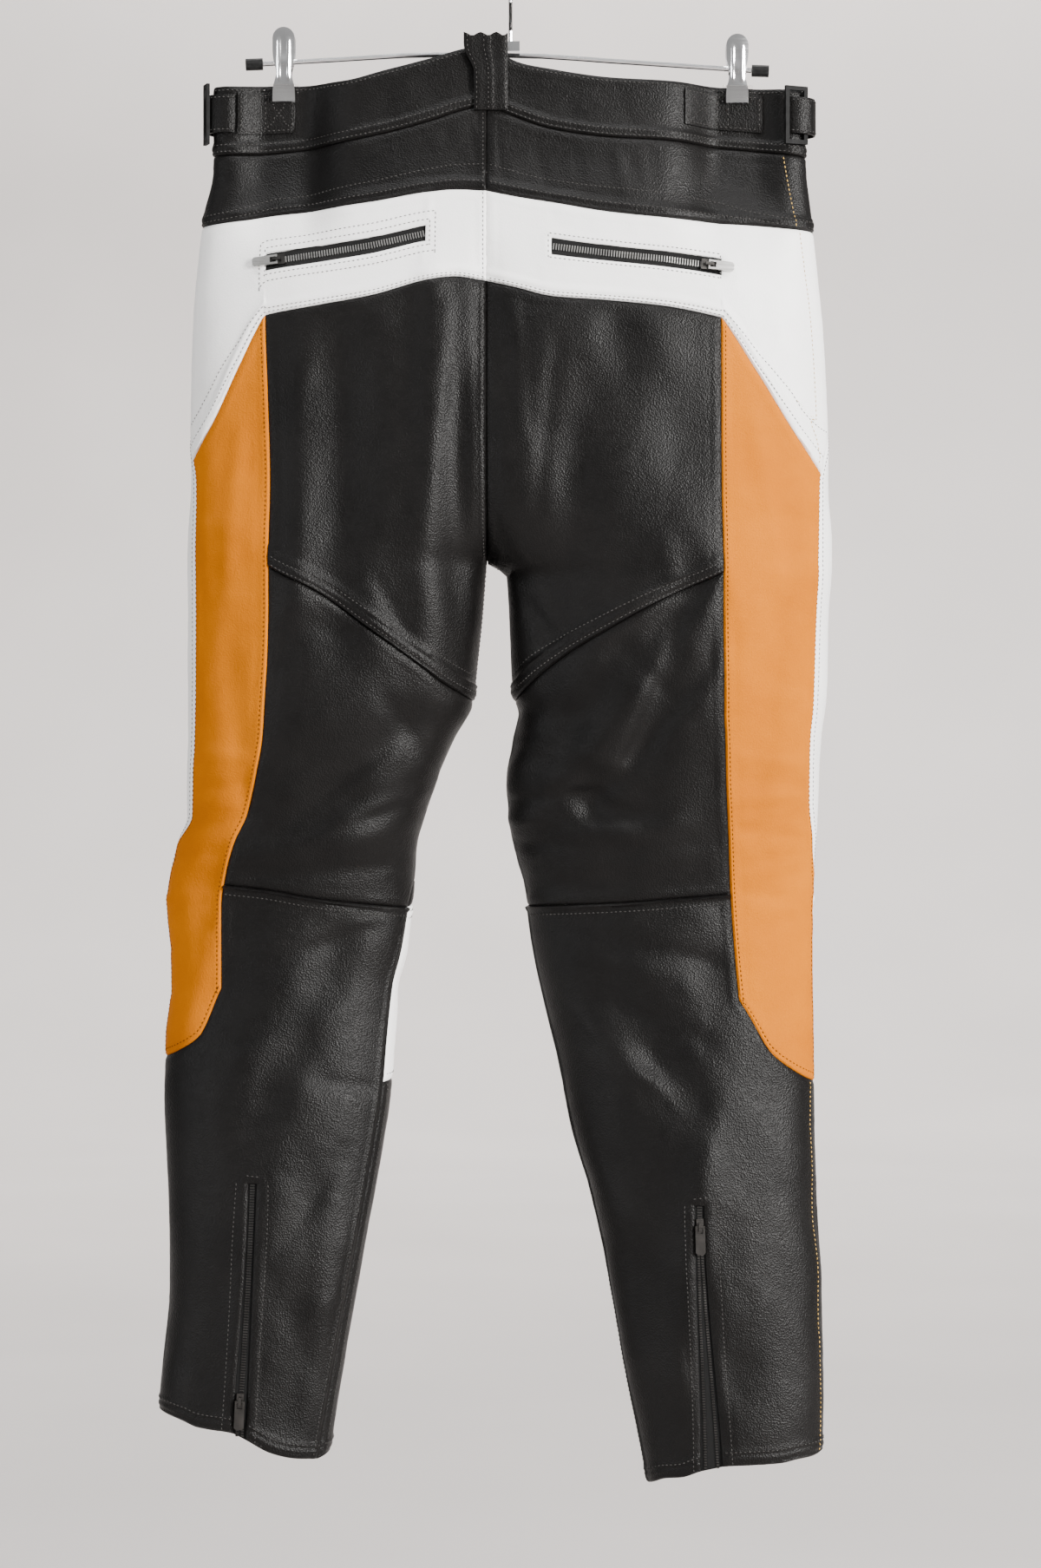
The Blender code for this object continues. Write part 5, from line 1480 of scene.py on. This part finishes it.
def coarse_points(side, rows, columns):
    """Points on the flat facets that the part has between whole columns, and their normals."""
    r, c = np.meshgrid(rows, columns, indexing="ij")
    low_r, low_c = np.floor(r), np.floor(c)
    u, v = (r - low_r)[..., None], (c - low_c)[..., None]
    points, normals = 0.0, 0.0
    corners = ((0, 0, (1 - u) * (1 - v)), (0, 1, (1 - u) * v), (1, 0, u * (1 - v)), (1, 1, u * v))
    for dr, dc, weight in corners:
        at_r, at_c = np.minimum(low_r + dr, ROWS), low_c + dc
        points = points + sheet_points(side, at_r, at_c) * weight
        normals = normals + sheet_normals(side, at_r, at_c) * weight
    return points, unit(normals)


def blocks_along(path, normals, across_shift, size):
    """Small blocks along a path, narrower at the top: size is along it, across it and up."""
    run = path_run(path)
    points, faces = [], []
    for index, place in enumerate(np.arange(TOOTH_PITCH / 2, run[-1], TOOTH_PITCH)):
        start, end = (at_run(place + step, run, path) for step in (-0.2, 0.2))
        out = unit(at_run(place, run, normals))
        along = unit(end - start)
        across = unit(np.cross(along, out))
        middle = (start + end) / 2 + across * np.interp(place, run, across_shift)
        base = index * 8
        for h in (0.0, 1.0):
            for a, b in ((-1, -1), (1, -1), (1, 1), (-1, 1)):
                corner = along * a * size[0] / 2 * (1 - 0.25 * h) + across * b * size[1] / 2 * (1 - 0.1 * h)
                points.append(middle + corner + out * size[2] * h)
        faces += [(base, base + 3, base + 2, base + 1), (base + 4, base + 5, base + 6, base + 7)]
        faces += [(base + k, base + (k + 1) % 4, base + 4 + (k + 1) % 4, base + 4 + k) for k in range(4)]
    return points, faces


def build_teeth(name, rows_of_teeth, finish):
    """The teeth of one zip."""
    points, faces = [], []
    for path, normals, shift, size in rows_of_teeth:
        more, quads = blocks_along(path, normals, shift, size)
        faces += [tuple(index + len(points) for index in quad) for quad in quads]
        points += more
    made = keep_mesh(name, points, faces, MATERIAL[finish])
    made.data.shade_flat()
    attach(made, "root")


def build_tape(name, word, points, normals):
    """The tape of a zip, sunk behind the leather."""
    inner = points - normals * (TAPE_DROP + TAPE_WALL)
    laid_strip("%s_tape_%s" % (name, word), inner, normals, TAPE_WALL, "zip_tape",
               "%s_zip_tape_%s" % (name, word), 0.0)


def build_zips():
    """Tapes and teeth of the pocket and ankle zips. The ankle zips stand open at the hem."""
    for side, word in SIDES.items():
        rows = np.linspace(POCKET_ROW - TAPE_MARGIN, POCKET_ROW + 1 + TAPE_MARGIN, 9)
        points, normals = coarse_points(side, rows, np.linspace(*POCKET_TAPE_COLUMNS, 40))
        build_tape("pocket", word, points, normals)
        path, out = coarse_points(side, [POCKET_ROW + 0.5], np.linspace(*POCKET_TEETH_COLUMNS, 60))
        path = path[0] - out[0] * TAPE_DROP
        shifts = [np.full(60, shift) for shift in (-POCKET_TOOTH_SHIFT, POCKET_TOOTH_SHIFT)]
        rows_of_teeth = [(path, out[0], shift, POCKET_TOOTH) for shift in shifts]
        build_teeth("pocket_teeth_" + word, rows_of_teeth, "teeth_light")

        top = LINE_ROW["slit"]
        rows = np.linspace(top - ANKLE_TAPE_RISE, ROWS, 60)
        points, normals = coarse_points(side, rows, np.linspace(*ANKLE_TAPE_COLUMNS, 9))
        build_tape("ankle", word, points, normals)
        rows = np.linspace(top, ROWS, 80)
        points, normals = coarse_points(side, rows, [sum(ZIP_COLUMNS) / 2])
        path = points[:, 0] - normals[:, 0] * TAPE_DROP
        split = top + ANKLE_OPEN_ROWS[side]
        opened = np.clip((rows - split) / (ROWS - split), 0.0, 1.0)
        part = ANKLE_TOOTH_SHIFT + ANKLE_OPENING[side] * opened
        rows_of_teeth = [(path, normals[:, 0], part * sign, ANKLE_TOOTH) for sign in (-1, 1)]
        build_teeth("ankle_teeth_" + word, rows_of_teeth, "teeth_dark")


def bevelled_box(name, low, high, bevel, finish):
    """A box with rounded edges."""
    made = keep_mesh(name, [], [], MATERIAL[finish])
    work = bmesh.new()
    size, middle = Vector(high) - Vector(low), (Vector(high) + Vector(low)) / 2
    place = Matrix.Translation(middle * MM) @ Matrix.Diagonal((*(size * MM), 1.0))
    bmesh.ops.create_cube(work, size=1.0, matrix=place)
    bmesh.ops.bevel(work, geom=work.edges[:], offset=bevel * MM, segments=3, affect="EDGES", profile=0.5)
    work.to_mesh(made.data)
    work.free()
    made.data.shade_smooth()
    made.data.set_sharp_from_angle(angle=SHARP)
    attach(made, "root")


def jaw_outline(top, foot):
    """Heights down a jaw, and half its width at each: round at the top, and narrower at its waist."""
    turn = np.linspace(0.0, math.pi / 2, 12)
    crown = top - JAW_HALF * (1.0 - np.sin(turn[::-1]))
    heights = np.concatenate([crown, np.linspace(top - JAW_HALF, foot, 30)[1:]])
    square = JAW_HALF ** 2 - (heights - top + JAW_HALF) ** 2
    half = np.where(heights > top - JAW_HALF, np.sqrt(np.maximum(square, 0.09)), JAW_HALF)
    depth, rise, width = JAW_WAIST
    return heights, half - depth * np.exp(-((heights - foot - rise) / width) ** 2)


def build_jaw(side, word, face, sign, foot):
    """One plate of a clip, pressed into two ribs and bent in to its pad at the foot."""
    rod_x, rod_z = zip(*ROD_POINTS)
    rod = float(curve(rod_x, rod_z, np.array(CLIP_X[side])))
    top = rod + JAW_TOP_RISE
    heights, half = jaw_outline(top, foot)
    x = np.linspace(-1.0, 1.0, 23)[None, :] * half[:, None]
    z = np.repeat(heights[:, None], 23, axis=1)
    near = JAW_NEAR[face]
    lift = near + (JAW_FAR - near) * smooth_step(foot + JAW_BEND[0], foot + JAW_BEND[1], z)
    lean = JAW_LEAN * smooth_step(foot + JAW_LEAN_START * (top - foot), top, z)
    lift = lift + lean - JAW_DISH[0] * (x / JAW_HALF) ** 2 * JAW_DISH[1]
    ribs = np.exp(-((np.abs(x) - RIB_PLACE) / RIB_WIDTH) ** 2)
    ribs = ribs * smooth_step(foot + RIB_FOOT[0], foot + RIB_FOOT[1], z)
    ribs = ribs * smooth_step(top - RIB_TOP[0], top - RIB_TOP[1], z)
    boss = np.exp(-(x ** 2 + (z - rod) ** 2) / BOSS_SIZE)
    outward = lift + RIB_HEIGHT * ribs + BOSS_HEIGHT * boss
    inner = np.stack([CLIP_X[side] + x, sign * lift, z], axis=-1)
    outer = np.stack([CLIP_X[side] + x, sign * (outward + JAW_WALL), z], axis=-1)
    layers = (outer.reshape(-1, 3), inner.reshape(-1, 3))
    made = closed_shell("jaw_%s_%s" % (face, word), *layers, grid_quads(*z.shape), MATERIAL["chrome"])
    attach(made, "root")
    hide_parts("clip_jaw_%s_%s" % (face, word))


def build_clips():
    """The jaws of each clip, and the clear cover on the foot of its back jaw."""
    for side, word in SIDES.items():
        x = CLIP_X[side]
        foot = float(sheet_points(side, 0.0, float(TRIM_COLUMN))[2]) - JAW_BITE
        low = (x - COVER_HALF_WIDTH, -JAW_FACE - COVER_FACES[0], foot - COVER_DROP)
        high = (x + COVER_HALF_WIDTH, -JAW_FACE - COVER_FACES[1], foot + COVER_HEIGHT - COVER_DROP)
        bevelled_box("clip_cover_" + word, low, high, COVER_BEVEL, "clear")
        for face, sign in (("back", -1), ("front", 1)):
            build_jaw(side, word, face, sign, foot)


def dress_nodes():
    """Give every kept piece of the part its procedural material."""
    finishes = (("adjuster_ring", "plastic"), ("rod_cap", "rubber"), ("hanger_", "chrome"),
                ("hook_", "chrome"), ("clip_", "chrome"), ("waist_stud", "stud"),
                ("pocket_zip_slider", "dark_metal"), ("pocket_zip_tab", "light_metal"),
                ("ankle_zip", "dark_metal"))
    for name, node in NODES.items():
        for start, finish in finishes:
            if name.startswith(start) and node.type == "MESH":
                node.data.materials.clear()
                node.data.materials.append(MATERIAL[finish])


def build_stage():
    """A pale floor that curves up into a wall behind."""
    side_view = [(FLOOR_START_Y, FLOOR_Z), (WALL_Y - COVE_RADIUS, FLOOR_Z)]
    for k in range(1, COVE_STEPS + 1):
        turn = math.pi / 2 * k / COVE_STEPS
        side_view.append((WALL_Y - COVE_RADIUS + COVE_RADIUS * math.sin(turn),
                          FLOOR_Z + COVE_RADIUS - COVE_RADIUS * math.cos(turn)))
    side_view.append((WALL_Y, WALL_TOP_Z))
    points = [(x / MM, y / MM, z / MM) for x in (-STAGE_HALF, STAGE_HALF) for y, z in side_view]
    count = len(side_view)
    faces = [(k, k + 1, k + 1 + count, k + count) for k in range(count - 1)]
    keep_mesh("studio_cove", points, faces, MATERIAL["wall"])


def add_light(name, place, aim, size, energy, colour):
    """A soft rectangular lamp at a place, turned to what it lights."""
    lamp = bpy.data.lights.new(name, "AREA")
    lamp.shape = "RECTANGLE"
    lamp.size, lamp.size_y = size
    lamp.energy = energy
    lamp.color = colour
    made = bpy.data.objects.new(name, lamp)
    made.location = place
    made.rotation_euler = (Vector(aim) - Vector(place)).to_track_quat("-Z", "Y").to_euler()
    bpy.context.scene.collection.objects.link(made)


def build_lights():
    """The lamps, and a room that is paler above."""
    for light in LIGHTS:
        add_light(*light)
    world = bpy.data.worlds.new("pale_room")
    world.use_nodes = True
    nodes, links = world.node_tree.nodes, world.node_tree.links
    place = nodes.new("ShaderNodeTexCoord")
    split = nodes.new("ShaderNodeSeparateXYZ")
    links.new(place.outputs["Generated"], split.inputs["Vector"])
    shade = ramp(nodes, links, split.outputs["Z"], ROOM_LOW, ROOM_HIGH, (0.0, 0.6))
    links.new(shade, nodes["Background"].inputs["Color"])
    nodes["Background"].inputs["Strength"].default_value = ROOM_STRENGTH
    bpy.context.scene.world = world


def build_camera():
    """The camera of the photo, level with the middle of the garment."""
    lens = bpy.data.cameras.new("photo_camera")
    lens.sensor_fit = "VERTICAL"
    lens.sensor_height = SENSOR_HEIGHT
    lens.lens = LENS
    made = bpy.data.objects.new("photo_camera", lens)
    made.location = CAMERA_PLACE
    made.rotation_euler = (math.radians(90), 0.0, 0.0)
    bpy.context.scene.collection.objects.link(made)
    bpy.context.scene.camera = made


def sew_windows():
    """Boxes of stitches round the pocket and ankle zips."""
    for side in SIDES:
        for offset in WINDOW_OFFSETS[side]:
            sew_round(side, "hip_band", "white", (POCKET_ROW, POCKET_ROW + 1),
                      (POCKET_COLUMN, POCKET_WINDOW_END), offset)
        top = LINE_ROW["slit"]
        rows = np.linspace(top - 0.02, ROWS - 0.02, 160)
        spread_down = np.linspace(1.0, 1.25, 160)
        for column, offset in zip(ZIP_COLUMNS, (-SLIT_OFFSET, SLIT_OFFSET)):
            sew(side, "calf_back", "black", rows, column, 0.0, offset * spread_down)
        across = np.linspace(ZIP_COLUMNS[0] - 0.12, ZIP_COLUMNS[1] + 0.12, 30)
        sew(side, "calf_back", "black", top, across, -SLIT_TOP_OFFSET, 0.0)


def build_scene():
    """Every piece, then the studio round it."""
    for side in SIDES:
        for panel in PANEL_ROWS:
            build_panel(side, panel)
    sew_panels()
    sew_windows()
    build_adjusters()
    build_belt_loop()
    build_placket()
    build_zips()
    build_clips()
    STITCHES.build()
    dress_nodes()
    build_stage()
    build_lights()
    build_camera()


build_scene()
